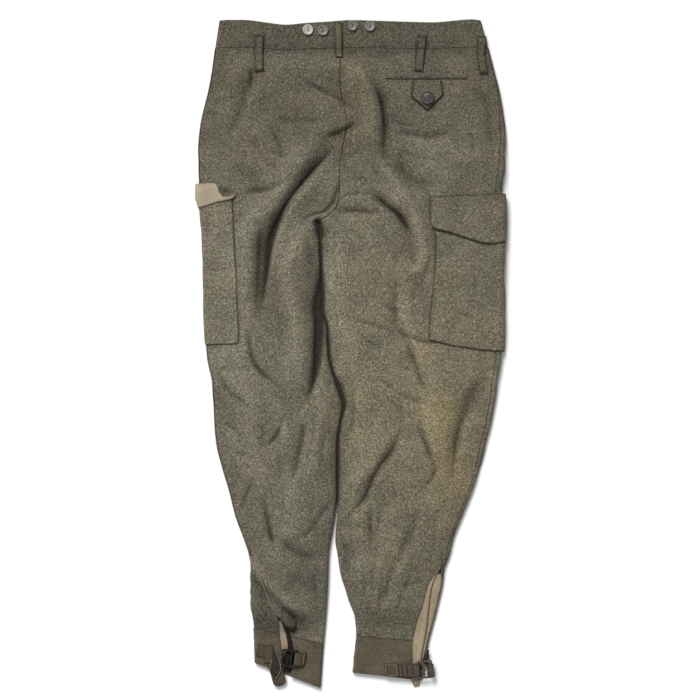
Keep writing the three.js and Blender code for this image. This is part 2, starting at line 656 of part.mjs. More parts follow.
function addButton(name, x, down, sizes, pieces, finish) {
  const base = topNear(x, down, sizes.radius * 0.7, pieces) + LAY_GAP;
  add(name, button(sizes).translate(x, LENGTH / 2 - down, base), finish);
}

for (const { name, x, down, light } of BRACE_BUTTONS) {
  const pieces = named("waistband_left", "waistband_right");
  addButton(name, x, down, BRACE_BUTTON, pieces, light ? paleButton : greyButton);
}
addButton("seat_pocket_button", SEAT_BUTTON.x, SEAT_BUTTON.down, SEAT_BUTTON, named("seat_pocket_tab"), greyButton);

// Ankle straps. A strap's loop holds a bar of its buckle; the strap is seen from its edge as a path of
// [x, height above the loop's base] points.
function ribbon(path, down, width, thickness, lean) {
  const middles = path.map(([x, z]) => new THREE.Vector3(x, 0, z));
  const side = middles.map((point, i) => {
    const before = middles[Math.max(i - 1, 0)];
    const after = middles[Math.min(i + 1, middles.length - 1)];
    return new THREE.Vector3(before.z - after.z, 0, after.x - before.x).normalize();
  });
  const grid = (out) => middles.map((point, i) => [-width / 2, width / 2].map((offset) => {
    const moved = point.clone().addScaledVector(side[i], out);
    return new THREE.Vector3(moved.x - lean * offset, LENGTH / 2 - down + offset, moved.z);
  }));
  return wallBetween(grid(thickness / 2), grid(-thickness / 2));
}

// Points of a half circle from below a bar to above it, on the side towards `way`
const arcRound = (x, z, radius, way) =>
  spread(-1, 1, 7).map((share) => {
    const angle = (share * Math.PI) / 2;
    return [x + way * radius * Math.cos(angle), z + radius * Math.sin(angle)];
  });

// A strap that starts at its sewn patch, runs to a bar, round it and back
function loopRound(x, z, radius, patch, base) {
  const way = Math.sign(x - patch);
  const back = [[x - way * 6, z + radius - 0.4], [(x + 2 * patch) / 3, base + WEBBING + LAY_GAP + 0.8],
    [patch + way * 3, base + WEBBING + LAY_GAP]];
  return [[patch, base], [(patch + x) / 2, base], [x - way * 4, base], ...arcRound(x, z, radius, way), ...back];
}

// A stamped frame with a bar across it and a short prong, lying flat, with its first bar at x = 0
function buckleFrame({ width, depth, bar, thickness, prong, towards }) {
  const rounded = (x0, y0, x1, y1, r) => {
    const shape = new THREE.Shape();
    shape.moveTo(x0 + r, y0).lineTo(x1 - r, y0).absarc(x1 - r, y0 + r, r, -Math.PI / 2, 0);
    shape.lineTo(x1, y1 - r).absarc(x1 - r, y1 - r, r, 0, Math.PI / 2);
    shape.lineTo(x0 + r, y1).absarc(x0 + r, y1 - r, r, Math.PI / 2, Math.PI);
    shape.lineTo(x0, y0 + r).absarc(x0 + r, y0 + r, r, Math.PI, 1.5 * Math.PI);
    return shape;
  };
  const plate = rounded(-bar / 2, -depth / 2, width - bar / 2, depth / 2, 3);
  const middle = width * 0.36;
  plate.holes.push(rounded(bar / 2, -depth / 2 + bar, middle - bar / 2, depth / 2 - bar, 0.6));
  plate.holes.push(rounded(middle + bar / 2, -depth / 2 + bar, width - 1.5 * bar, depth / 2 - bar, 0.6));
  const options = { depth: thickness, bevelEnabled: false, curveSegments: 2 };
  const frame = solidOf(new THREE.ExtrudeGeometry(plate, options).translate(0, 0, -thickness / 2));
  const tip = new THREE.Shape([[middle, -3], [middle + prong, 0], [middle, 3]].map((p) => new THREE.Vector2(...p)));
  const tooth = solidOf(new THREE.ExtrudeGeometry(tip, options).translate(0, 0, -thickness / 2));
  return geometryOf(frame.add(tooth)).rotateZ(towards < 0 ? Math.PI : 0);
}

// Right ankle: fastened
{
  const { bar, down, patch, edge, tilt } = RIGHT_STRAP;
  const cuff = named("cuff_right", "gusset_right");
  const base = topNear((bar + patch) / 2, down, 12, cuff) + LAY_GAP + WEBBING / 2;
  const radius = BUCKLE.bar / 2 + LOOP_SLACK + WEBBING / 2;
  const loop = loopRound(bar, base + radius, radius, patch, base);
  add("ankle_strap_back_right", ribbon(loop, down, STRAP_WIDTH, WEBBING, tilt), webbing);
  const frame = buckleFrame({ ...BUCKLE, towards: 1 }).rotateZ(Math.atan(tilt));
  add("ankle_buckle_right", frame.translate(bar, LENGTH / 2 - down, base + radius), steel);
  const far = bar + BUCKLE.width - BUCKLE.bar;
  const fastened = [[edge, 3], [edge + 3, 3.4], ...arcRound(far, base + radius, radius, 1), [far - 6, base + 2 * radius]];
  add("ankle_strap_front_right", ribbon(fastened, down, STRAP_WIDTH, WEBBING, tilt), webbing);
}

// Left ankle: open
{
  const { bar, down, patch, tilt, front, keeper, tail } = LEFT_STRAP;
  const cuff = named("cuff_left", "gusset_left", "back_left", "front_left");
  const base = topNear((bar + patch) / 2, down, 12, cuff) + LAY_GAP + WEBBING / 2;
  const radius = BUCKLE.bar / 2 + LOOP_SLACK + WEBBING / 2;
  const loop = loopRound(bar, base + radius, radius, patch, base);
  add("ankle_strap_back_left", ribbon(loop, down, STRAP_WIDTH, WEBBING, tilt), webbing);
  const frame = buckleFrame({ ...BUCKLE, towards: -1 }).rotateZ(Math.atan(tilt));
  add("ankle_buckle_left", frame.translate(bar, LENGTH / 2 - down, base + radius), steel);
  const hanging = (share) => lerp(5.6, 3.6, smoothstep(share, 0.9, 1));
  const loose = strip([...front, ...tail], STRAP_WIDTH, WEBBING, cuff, () => 0, hanging);
  add("ankle_strap_front_left", loose, webbing);
  add("ankle_keeper_left", strip(keeper, 16, 1.2, [...cuff, ...named("ankle_strap_front_left")]), webbing);
}

export default garment;
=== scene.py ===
# The looks of wool field trousers that lie flat with the back uppermost: cloth shells with their creases,
# stitching, buttons and buckles, and the floor, light and camera.
# Lengths are in millimetres until a mesh is made. A place on the garment is x and "down", the distance below
# the highest point of the waist.
import math

import bmesh
import bpy
import numpy as np
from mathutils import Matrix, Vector
from mathutils.bvhtree import BVHTree


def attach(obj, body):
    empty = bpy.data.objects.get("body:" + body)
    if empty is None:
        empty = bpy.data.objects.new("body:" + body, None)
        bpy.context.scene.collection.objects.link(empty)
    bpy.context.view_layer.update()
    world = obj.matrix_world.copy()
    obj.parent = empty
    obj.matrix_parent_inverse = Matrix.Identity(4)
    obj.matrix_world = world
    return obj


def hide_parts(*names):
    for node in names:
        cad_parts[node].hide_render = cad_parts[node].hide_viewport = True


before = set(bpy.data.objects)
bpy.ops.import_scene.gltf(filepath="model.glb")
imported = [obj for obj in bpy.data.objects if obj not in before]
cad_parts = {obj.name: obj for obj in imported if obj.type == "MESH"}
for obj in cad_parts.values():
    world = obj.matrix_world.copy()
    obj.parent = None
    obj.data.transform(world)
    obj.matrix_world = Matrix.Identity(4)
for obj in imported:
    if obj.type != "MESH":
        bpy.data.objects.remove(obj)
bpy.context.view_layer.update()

# Driving sizes
LENGTH = 1069
WAIST_TOP = 2
BAND_SEAM = 45  # the seam under the waistband
LEGS_PART = 794  # from here down there is a space between the two legs
WOOL, BAND, CANVAS, LINING, POCKET, FLAP, WEBBING = 2.0, 2.6, 1.6, 0.8, 1.8, 2.2, 1.5  # thicknesses
SEAM_GAP = 0.5  # between pieces that are sewn edge to edge
BAND_GAP = 0.1  # the same under the waistband
LAY_GAP = 0.35  # between a piece and the cloth that it lies on
EDGE_RADIUS = 3.2  # how far in from its edge a laid leg rounds over
BAND_LEVEL = 4.8  # middle of the upper layer at the waistband and the cuffs
LEG_LEVEL = 6.4  # the same over the seat and legs
LOWEST_TOP = 5.0  # where the troughs of the upper layer level out
LEVELLING = 2.0  # how far above that they start to
NEAREST_LAYERS = 3.2  # least distance between the middles of the two layers
CUFF_SEAM = {"left": 973, "right": 996}
HEM = {"left": 1029, "right": 1057}


def columns(rows):
    return [np.array(column, float) for column in zip(*rows)]


# Sections of each half: down, x of the outer edge, distance of the front and back panel's seams from it over
# the cloth, and how much lower the inner edge is; then the inner edge of the separate leg as down and x
SECTIONS = {
    "left": columns([
        (2, -213, 2, 2, -1), (44, -219.5, 2, 2, 0), (84, -225, 2, 2, 0), (116, -231, 2, 2, 0),
        (144, -238, 2, 2, 0), (168, -243, 2, 2, 0), (200, -246.5, 2, 2, 0), (236, -248, 2, 2, 0),
        (280, -246, 2, 2, 0), (300, -244, 2, 2, 0), (312, -243, 2, 2, 0), (324, -242, 2, 2, 0),
        (345, -240, 2, 2, 0), (424, -239, 2, 2, 0), (462, -238.5, 2, 2, 0), (488, -237.5, 2, 2, 0),
        (538, -234.5, 2, 2, 0), (582, -225.6, 2, 2, 0), (616, -222, 2, 2, 0), (648, -220.5, 2, 2, 0),
        (678, -217.6, 2, 2, 0), (717, -208, 2, 2, 0), (755, -196.8, 2, 2, 0), (794, -187, 2, 2, 0),
        (832, -172.8, 2, 2, 0), (858, -165, 3, 3, 2), (880, -163.2, 12, 12, 5), (904, -163.2, 22, 22, 9),
        (933, -163, 34, 34, 15), (952, -161, 43, 46, 19), (973, -158.4, 41.5, 60, 26),
        (1000, -157, 44, 64, 32), (1029, -156, 45, 56, 40),
    ]),
    "right": columns([
        (2, 207, 2, 2, -1), (44, 219, 2, 2, 0), (84, 229, 2, 2, 0), (116, 237, 3, 3, 0),
        (144, 242, 5, 5, 0), (168, 245.5, 8, 8, 0), (200, 249, 10, 10, 0), (236, 252.5, 12, 12, 0),
        (262, 247.5, 12, 12, 0), (280, 247, 12, 12, 0), (300, 248, 12, 12, 0), (312, 248, 12, 12, 0),
        (324, 248, 12, 12, 0), (345, 247.5, 12, 12, 0), (424, 245, 12, 12, 0), (462, 244.5, 12, 12, 0),
        (488, 245, 12, 12, 0), (538, 244, 11, 11, 0), (582, 237, 11, 11, 0), (616, 231, 10.5, 10.5, 0),
        (648, 225, 10.5, 10.5, 0), (678, 216.5, 9.5, 9.5, 0), (717, 205, 6.5, 6.5, 0), (755, 192, 5, 5, 0),
        (794, 176.5, 5, 5, 0), (832, 162, 5, 5, 0), (858, 156, 5, 5, 0), (880, 148, 5, 6, 0),
        (894, 146.5, 1.6, 18, -1), (910, 143.5, 1.2, 22.5, -2), (935, 138, 1.2, 24, -4),
        (960, 132, 1.4, 26, -7),
        (996, 122.5, 1.8, 24.5, -10.5), (1022, 118, 2.5, 20.5, -11.5), (1057, 112, 2.5, 14, -12.5),
    ]),
}
INNER_EDGE = {
    "left": columns([(794, -27.5), (832, -33.5), (858, -37), (880, -37.8), (904, -38.8), (933, -41),
                     (952, -42.8), (973, -45.2), (1000, -47.5), (1029, -50)]),
    "right": columns([(794, -24), (832, -27), (858, -23), (880, -20), (894, -17), (910, -12), (935, -5),
                      (960, 3.5), (996, 6.4), (1022, 3.5), (1057, 0.5)]),
}
INWARD = {"left": 1, "right": -1}
# The line down the middle: down, x of the left half's edge, x of the right half's edge
MIDDLE = columns([
    (2, -17.6, -17.3), (44, -19, -18.7), (84, -19.2, -18.9), (116, -18, -17.7), (144, -12, -11.7),
    (168, -8.5, -8.2), (200, -14.4, -14.1), (236, -19.2, -18.9), (280, -20.5, -20.2), (300, -25.6, -25.1),
    (312, -37.6, -36.2), (324, -53.6, -51.6), (345, -52.6, -50.6), (424, -49.5, -47.5), (462, -49.5, -47.5),
    (488, -41, -39), (538, -37.5, -35.5), (582, -26, -24), (616, -14.5, -12.5), (648, -20.5, -18.5),
    (678, -24, -22), (717, -24.2, -22.2), (755, -24.2, -22.2), (794, -27.5, -24),
])
WAIST_WAVE = columns([
    (-230, 1), (-200, -2), (-175, -2), (-140, 2), (-105, 6), (-75, 3.5), (-40, 1.5), (0, -1), (60, 0.5),
    (130, 2), (165, -1), (190, -3), (215, 0),
])

# Folds: height, half-width on the left and on the right of a path that runs down, and the path. The first
# ones are the large ones that the solids have too; the rest are creases, most of them troughs.
FOLDS = {
    "seat to left thigh": (9.5, 26, 15, [(-22, 168), (-55, 190), (-80, 226), (-114, 284), (-138, 312),
                                         (-158, 352), (-164, 388), (-168, 432)]),
    "left thigh, inner side": (8, 20, 20, [(-58, 326), (-80, 350), (-96, 385), (-97, 424), (-88, 468),
                                           (-84, 520), (-92, 580), (-110, 640)]),
    "right seat": (8, 26, 10, [(-8, 66), (14, 92), (32, 130), (37, 180), (35, 218)]),
    "right thigh arc": (9.5, 11, 28, [(34, 262), (64, 282), (90, 306), (103, 328), (111, 356), (114, 405)]),
    "right thigh swell": (4, 48, 52, [(6, 350), (14, 420), (14, 500), (28, 570)]),
    "right inner edge": (6.5, 18, 30, [(-38, 334), (-34, 380), (-30, 430), (-30, 470), (-22, 500),
                                       (-15, 545), (0, 600)]),
    "left seat swell": (3, 55, 55, [(-105, 100), (-120, 160), (-135, 215)]),
    "right seat swell": (2.5, 45, 50, [(120, 130), (130, 190), (150, 240)]),
    "back of right knee": (5.5, 22, 11, [(62, 652), (42, 690), (26, 716), (6, 745), (-8, 780)]),
    "stained side of right knee": (4.5, 11, 26, [(112, 606), (126, 655), (138, 700), (146, 738)]),
    "right thigh beside the pocket": (5, 15, 22, [(82, 400), (84, 465), (98, 510), (118, 560), (128, 600)]),
    "left thigh beside the pocket": (4, 16, 18, [(-162, 300), (-160, 380), (-166, 460), (-172, 545)]),
    "outside of left knee": (4, 24, 26, [(-172, 600), (-150, 680), (-138, 740)]),
    "left calf": (5, 26, 20, [(-60, 640), (-66, 700), (-90, 770), (-92, 860), (-80, 940)]),
    "right calf": (4, 18, 24, [(70, 790), (64, 870), (58, 950)]),
}
CREASES = {
    "seat, hook": (-4.2, 5, 9, [(3, 158), (-2, 170), (-16, 178), (-34, 186), (-51, 190)]),
    "seat trough": (-6, 10, 4, [(-27, 202), (-40, 218), (-71, 251), (-105, 295), (-123, 336), (-130, 363),
                    (-135, 403), (-142, 448)]),
    "seat trough, deep": (-3.4, 7, 4, [(-112, 312), (-123, 336), (-130, 363), (-136, 403), (-143, 450),
                                       (-150, 480)]),
    "right of the seat trough": (4, 5, 16, [(-30, 224), (-61, 259), (-94, 302), (-112, 341), (-120, 368),
                    (-125, 400)]),
    "hip to seat": (-4, 6, 7, [(-176, 279), (-154, 275), (-132, 272), (-109, 262), (-85, 250)]),
    "left waist": (-4.5, 15, 14, [(-152, 58), (-158, 83), (-166, 106), (-179, 146), (-198, 187), (-216, 211)]),
    "left seat, short": (-2.5, 4, 5, [(-131, 163), (-126, 179), (-115, 207), (-108, 237)]),
    "left seat to the seam": (-3, 5, 5, [(-82, 93), (-64, 106), (-44, 116), (-17, 130), (-2, 147)]),
    "left seat, level": (-1.8, 7, 7, [(-134, 160), (-99, 163), (-64, 162), (-37, 168)]),
    "left seat, raised": (3.5, 20, 20, [(-64, 133), (-42, 138)]),
    "seat under the waistband": (3.5, 26, 26, [(-48, 61), (-32, 74)]),
    "right seat trough": (-5.2, 4, 14, [(20, 84), (36, 110), (46, 134), (50, 160), (51, 188), (49, 212),
                                        (54, 242)]),
    "right seat, wavy": (-3.5, 7, 7, [(58, 189), (77, 181), (102, 185), (125, 188), (152, 180),
                    (174, 171)]),
    "right seat, short": (-2, 5, 5, [(64, 161), (85, 170), (106, 170)]),
    "ridge outside the arc": (6, 8, 8, [(35, 208), (45, 229), (58, 248), (78, 275), (98, 309),
                                  (112, 342), (117, 376), (109, 397), (85, 411), (58, 424)]),
    "arc trough": (-5, 8, 4, [(29, 280), (45, 288), (58, 299), (75, 312), (88, 332), (94, 349)]),
    "hollow under the seat": (-4, 8, 8, [(-38, 306), (3, 306), (37, 309), (64, 315)]),
    "hollow, upper side": (-2, 4, 4, [(-21, 286), (3, 279), (26, 278)]),
    "seam to crotch": (-4, 4, 5, [(-18, 253), (-22, 269), (-30, 292), (-44, 307), (-64, 313), (-86, 325)]),
    "crotch": (-12, 6, 6, [(-58, 315), (-54, 326), (-51, 338), (-50, 355)]),
    "left leg falls to the gap": (-13, 9, 7, [(-50, 368), (-50, 424), (-52, 458), (-53, 496),
                                       (-54, 525), (-58, 560), (-66, 595), (-80, 626)]),
    "left of the seat trough": (-8.5, 17, 14, [(-138, 300), (-146, 335), (-148, 375), (-150, 412),
                                         (-152, 455), (-152, 500)]),
    "left leg, inner ridge": (4.5, 12, 10, [(-83, 346), (-98, 382), (-104, 403), (-94, 445), (-85, 485),
                    (-75, 525), (-83, 573)]),
    "left leg, inner, short": (-2, 6, 6, [(-72, 346), (-69, 368), (-64, 400)]),
    "above the right flap": (-2.6, 11, 10, [(70, 211), (80, 237), (94, 254), (115, 262), (138, 266)]),
    "right seat, swelling": (3, 16, 16, [(106, 208), (128, 227), (157, 253)]),
    "right hip, swelling": (2.5, 16, 16, [(154, 208), (165, 216), (179, 224)]),
    "right hip": (-3, 12, 14, [(202, 102), (214, 136), (221, 184), (224, 221)]),
    "right waist": (-2.5, 7, 7, [(16, 61), (48, 54), (86, 51)]),
    "right pocket, crease": (-1.5, 5, 5, [(149, 357), (157, 368), (166, 384)]),
    "right pocket, long crease": (-1.5, 6, 6, [(190, 387), (197, 416), (202, 448)]),
    "beside the right pocket": (-3, 9, 8, [(75, 413), (69, 448), (70, 477), (80, 502)]),
    "under the right pocket": (-4, 6, 6, [(72, 490), (85, 505), (112, 515), (144, 522)]),
    "right thigh, slanting": (-2.5, 6, 6, [(6, 496), (30, 518), (54, 533)]),
    "below the right pocket": (-5, 7, 8, [(83, 506), (94, 531), (104, 557), (114, 586), (139, 616)]),
    "above the right knee": (-2.5, 5, 5, [(35, 568), (61, 587), (85, 604), (122, 616)]),
    "right knee, outer": (-4, 5, 6, [(98, 630), (109, 659), (123, 691), (131, 714), (130, 730), (118, 743),
                    (94, 754)]),
    "right knee, swelling": (3, 22, 22, [(77, 672), (93, 680), (102, 701)]),
    "right knee, inner": (-4, 5, 7, [(90, 646), (74, 667), (62, 691), (40, 720), (22, 760), (0, 790),
                                     (-26, 816)]),
    "right knee, upright": (-2, 5, 5, [(26, 666), (27, 696), (29, 726)]),
    "right leg, outer side": (-7, 14, 11, [(226, 556), (206, 584), (184, 622), (169, 662), (162, 712),
                                       (152, 768)]),
    "right shin, first": (-3.6, 8, 8, [(27, 770), (30, 816), (29, 868)]),
    "right shin, inner side": (-4, 14, 12, [(-11, 824), (-5, 864), (0, 904)]),
    "right shin, second": (-3.2, 7, 8, [(74, 850), (60, 895), (46, 944)]),
    "right shin, third": (-2.6, 7, 7, [(96, 800), (84, 838), (72, 880)]),
    "right shin, fourth": (-2.2, 7, 7, [(110, 770), (98, 815), (86, 862)]),
    "right shin, fifth": (-2, 6, 6, [(131, 778), (133, 816), (131, 854)]),
    "above the right gusset": (-2, 8, 8, [(67, 906), (96, 902), (125, 898)]),
    "right shin, ridge": (2.5, 5, 5, [(53, 848), (43, 888), (37, 941)]),
    "left knee, inner": (-5, 10, 10, [(-74, 630), (-78, 658), (-83, 688), (-91, 723), (-109, 755)]),
    "under the left pocket": (-5, 6, 8, [(-166, 488), (-163, 520), (-157, 547), (-139, 570), (-106, 592)]),
    "left knee, outer": (-3, 5, 5, [(-214, 554), (-205, 579), (-193, 598), (-166, 618), (-149, 643)]),
    "left knee, dimple": (-2.5, 6, 6, [(-147, 640), (-142, 662), (-146, 683)]),
    "left knee, ridge": (3.5, 10, 8, [(-147, 597), (-123, 616), (-110, 640), (-105, 672), (-110, 707)]),
    "left shin, outer": (-2, 5, 5, [(-189, 691), (-170, 696), (-149, 707)]),
    "left shin, upright": (-5, 7, 7, [(-143, 758), (-134, 800), (-130, 824), (-120, 851)]),
    "left shin, across": (-6, 12, 15, [(-118, 829), (-99, 846), (-75, 858), (-38, 869)]),
    "left shin, from the inner edge": (-2.5, 5, 5, [(-26, 762), (-48, 790), (-70, 821), (-93, 835)]),
    "left slit, raised edge": (10, 7, 9, [(-165, 848), (-154, 874), (-139, 895), (-118, 917), (-98, 936),
                                          (-77, 950), (-51, 970)]),
    "left ankle, hollow": (-3, 14, 14, [(-106, 883), (-75, 904), (-48, 918)]),
    "left ankle, lower": (-3, 8, 8, [(-109, 944), (-83, 963), (-54, 982)]),
    "left pocket, crease": (-1.8, 5, 5, [(-242, 396), (-215, 402), (-184, 400)]),
    "dart under the left loop": (-2.2, 2.6, 2.6, [(-161, 74), (-161.5, 94), (-162, 116)]),
    "right leg, inner dip": (-6, 5, 6, [(-27, 563), (-18, 592), (-14, 614), (-18, 637)]),
    "left calf, slanting": (-3, 4, 5, [(-108, 622), (-113, 648), (-126, 672), (-152, 688)]),
    "left calf, outer": (-2.2, 4, 5, [(-147, 712), (-165, 752), (-184, 800)]),
    "left calf, upright": (-2, 4, 5, [(-58, 600), (-60, 660), (-78, 730), (-84, 776)]),
    "left calf, inner": (-1.5, 4, 4, [(-42, 640), (-48, 700), (-50, 752)]),
    "right shin, sixth": (-1.8, 4, 4, [(-10, 768), (1, 832), (6, 880), (4, 930)]),
    "right shin, seventh": (-1.8, 3.5, 4, [(46, 776), (40, 820), (38, 872)]),
    "right shin, eighth": (-1.6, 4, 4, [(16, 852), (20, 900), (18, 950)]),
    "right shin, ninth": (-1.6, 3.5, 4, [(100, 872), (84, 914), (66, 958)]),
    "right thigh, fine": (-1.6, 4, 4, [(20, 430), (44, 452), (70, 466), (96, 470)]),
    "right thigh, level": (-1.8, 4, 5, [(-11, 478), (30, 488), (66, 502), (100, 524)]),
    "left seat, rumpled": (-1.8, 4, 5, [(-150, 196), (-120, 216), (-84, 222), (-60, 212)]),
    "left hip, rumpled": (-1.6, 4, 4, [(-186, 240), (-166, 250), (-150, 246)]),
    "left shin, slanting": (-2, 4, 6, [(-196, 640), (-180, 664), (-158, 676)]),
    "left shin, fine": (-1.5, 3.5, 4, [(-118, 712), (-110, 744), (-104, 790)]),
    "right knee, fine": (-1.6, 3.5, 4, [(52, 600), (76, 622), (84, 650)]),
    "right pocket, slanting": (-1.2, 4, 4, [(150, 452), (172, 470), (200, 480)]),
    "right leg, upright": (-1.8, 4, 5, [(-6, 560), (2, 606), (0, 650), (-10, 690)]),
    "seat, level": (-1.4, 4, 5, [(14, 318), (44, 340), (70, 370)]),
    "left seat, slanting": (-1.8, 4, 5, [(-171, 176), (-150, 208), (-135, 232), (-123, 244)]),
    "left seat, upright": (-1.6, 4, 4, [(-128, 222), (-118, 246), (-112, 268)]),
    "left ankle, fine": (-1.5, 3.5, 4, [(-60, 880), (-58, 912), (-52, 950)]),
    "right hip, rumpled": (-1.6, 4, 4, [(70, 206), (100, 218), (130, 226), (160, 244)]),
}
# Soft arches of the layer underneath, off the surface: the same columns
UNDER_CREASES = {
    "front, left hip": (1.3, 9, 7, [(-196, 96), (-170, 132), (-136, 156), (-104, 168)]),
    "front, right hip": (1.5, 7, 9, [(196, 110), (168, 150), (132, 172), (98, 178)]),
    "front, left groin": (1.6, 8, 6, [(-150, 214), (-112, 252), (-82, 284), (-64, 312)]),
    "front, left groin, lower": (1.1, 6, 6, [(-104, 262), (-96, 300), (-92, 344), (-96, 380)]),
    "front, right groin": (1.6, 6, 8, [(92, 206), (50, 244), (10, 278), (-30, 306)]),
    "front, right groin, lower": (1.2, 6, 7, [(120, 250), (84, 290), (50, 332), (34, 372)]),
    "front, left thigh": (1.2, 7, 7, [(-96, 430), (-104, 470), (-124, 512), (-150, 540)]),
    "front, right thigh": (1.3, 7, 7, [(24, 440), (52, 482), (90, 512), (130, 530)]),
    "front, left knee": (1.6, 7, 8, [(-196, 610), (-160, 632), (-118, 640), (-70, 628)]),
    "front, left knee, lower": (1.2, 6, 6, [(-190, 668), (-150, 688), (-108, 690), (-74, 676)]),
    "front, right knee": (1.6, 8, 7, [(8, 634), (54, 652), (108, 650), (160, 628)]),
    "front, right knee, lower": (1.1, 6, 6, [(20, 702), (64, 716), (110, 712), (150, 694)]),
    "front, left shin": (1.2, 6, 7, [(-150, 742), (-134, 800), (-120, 858), (-112, 910)]),
    "front, right shin": (1.3, 7, 6, [(96, 748), (84, 806), (66, 866), (58, 916)]),
    "front, right shin, inner": (1, 5, 6, [(28, 790), (24, 830), (30, 880), (36, 920)]),
}
UNDER_DARK = 2.4  # how much deeper than its height such an arch counts in the painted fold shade of the cloth
FOLD_STEPS = 4  # straight pieces between two points of a fold's path
FOLD_REACH = 4  # a fold ends at this many half-widths from its path
FADE_IN, FADE_OUT = 0.3, 0.66  # shares of a path over which a fold rises, and from which it fades
LARGE_FOLD_ENDS = 0.25  # share of its height that a large fold keeps at its ends
CREASE_TIP, CREASE_TIP_WIDTH = 0.45, 0.55  # how much of a trough is sharp, and how wide that part is

# Belt loops: path of [x, down] and width
LOOP_PATHS = {
    "belt_loop_left": ([(-147.5, 24), (-149.2, 54), (-148, 83.5)], 14),
    "belt_loop_centre": ([(-22.5, 3.5), (-21.6, 32), (-20.8, 60.5)], 11.5),
    "belt_loop_right": ([(112.6, 25), (109.2, 54), (105.8, 83.5)], 14),
    "belt_loop_side": ([(208.5, 25.5), (206.1, 56), (210.8, 87)], 13.5),
}
# Outlines of what is sewn on, where painted shade lies on the cloth beside them, as [x, down] corners, and how
# dark it is
CONTACTS = [
    ([(97, 96), (94, 124), (120, 147), (146.5, 121), (143, 96)], 3.2),
    ([(124, 283), (124, 325), (127, 334), (147, 339), (180, 350), (215, 359), (246, 356)], 2.4),
    ([(127, 334), (133, 350), (131, 410), (125, 465), (121.5, 512), (160, 521), (210, 529), (247, 531)], 2.6),
    ([(-190.5, 286), (-188, 330), (-184, 400), (-181.5, 460), (-179.5, 505), (-181, 519), (-236, 520)], 1.6),
]
# How far the painted shade beside sewn-on pieces reaches, and how dark it is beside the belt loops
CONTACT_REACH = 2.1
LOOP_CONTACT = 2.2

# Where the parts of the pockets and of the flap that lie underneath end: x, and rows
POCKET_UNDER = {"left": -115, "right": 185}
POCKET_ROWS = (268, 536)
FLAP_ROWS = (256, 372)
UNDER_MARGIN, UNDER_RAMP = 36, 30  # how far round them the leg is lifted, and how softly
FAR = 300  # past the garment's edges

rng = np.random.default_rng(11)
scene = bpy.context.scene


def smooth(value, low, high):
    t = np.clip((value - low) / (high - low), 0, 1)
    return t * t * (3 - 2 * t)


def curve(xs, ys, at):
    """Smooth curve through points that doesn't overshoot."""
    at = np.asarray(at, float)
    slope = np.diff(ys) / np.diff(xs)
    before = np.concatenate([slope[:1], slope])
    after = np.concatenate([slope, slope[-1:]])
    total = np.where(before + after == 0, 1, before + after)
    tangent = np.where(before * after <= 0, 0, 2 * before * after / total)
    i = np.clip(np.searchsorted(xs, at) - 1, 0, len(xs) - 2)
    span = xs[i + 1] - xs[i]
    t = np.clip((at - xs[i]) / span, 0, 1)
    u = 1 - t
    return (ys[i] * u * u * (1 + 2 * t) + ys[i + 1] * t * t * (3 - 2 * t)
            + span * t * u * (tangent[i] * u - tangent[i + 1] * t))


def spline(points, steps):
    """Catmull-Rom points through a path."""
    p = np.array(points, float)
    p = np.vstack([2 * p[0] - p[1], p, 2 * p[-1] - p[-2]])
    out = []
    for a, b, c, d in zip(p, p[1:], p[2:], p[3:]):
        for t in np.arange(steps) / steps:
            out.append(0.5 * (2 * b + (c - a) * t + (2 * a - 5 * b + 4 * c - d) * t * t
                              + (3 * b - a - 3 * c + d) * t ** 3))
    out.append(p[-2])
    return np.array(out)


LINES = {name: spline(row[3], FOLD_STEPS) for name, row in {**FOLDS, **CREASES, **UNDER_CREASES}.items()}


def ridge(name, row, x, down):
    """Height that one fold adds at some places."""
    rise, minus, plus, _ = row
    line = LINES[name]
    reach = FOLD_REACH * max(minus, plus)
    near = ((x > line[:, 0].min() - reach) & (x < line[:, 0].max() + reach)
            & (down > line[:, 1].min() - reach) & (down < line[:, 1].max() + reach))
    out = np.zeros(x.shape)
    if not near.any():
        return out
    px, py = x[near], down[near]
    best = np.full(px.shape, np.inf)
    side = np.zeros(px.shape)
    share = np.zeros(px.shape)
    for i, ((ax, ay), (bx, by)) in enumerate(zip(line[:-1], line[1:])):
        dx, dy = bx - ax, by - ay
        t = np.clip(((px - ax) * dx + (py - ay) * dy) / (dx * dx + dy * dy), 0, 1)
        ox, oy = px - ax - t * dx, py - ay - t * dy
        distance = np.hypot(ox, oy)
        closer = distance < best
        best = np.where(closer, distance, best)
        side = np.where(closer, ox * dy - oy * dx, side)
        share = np.where(closer, (i + t) / (len(line) - 1), share)
    width = np.where(side > 0, plus, minus)
    fade = smooth(share, 0, FADE_IN) * (1 - smooth(share, FADE_OUT, 1))
    least = LARGE_FOLD_ENDS if name in FOLDS else 0
    if rise > 0 and len(row[3]) <= 3:
        least = 1  # a short ridge doesn't fade
    shape = np.exp(-((best / width) ** 2))
    if rise < 0:
        shape = (1 - CREASE_TIP) * shape + CREASE_TIP * np.exp(-best / (CREASE_TIP_WIDTH * width))
    out[near] = rise * (least + (1 - least) * fade) * shape
    return out


LATTICE = (64, 96)
LATTICE_START = (-400, -200)
LATTICES = [rng.standard_normal(LATTICE) for _ in range(3)]
UNEVEN = [(75, 1.1), (30, 0.55), (13, 0.2)]  # spacing and height of the cloth's own unevenness


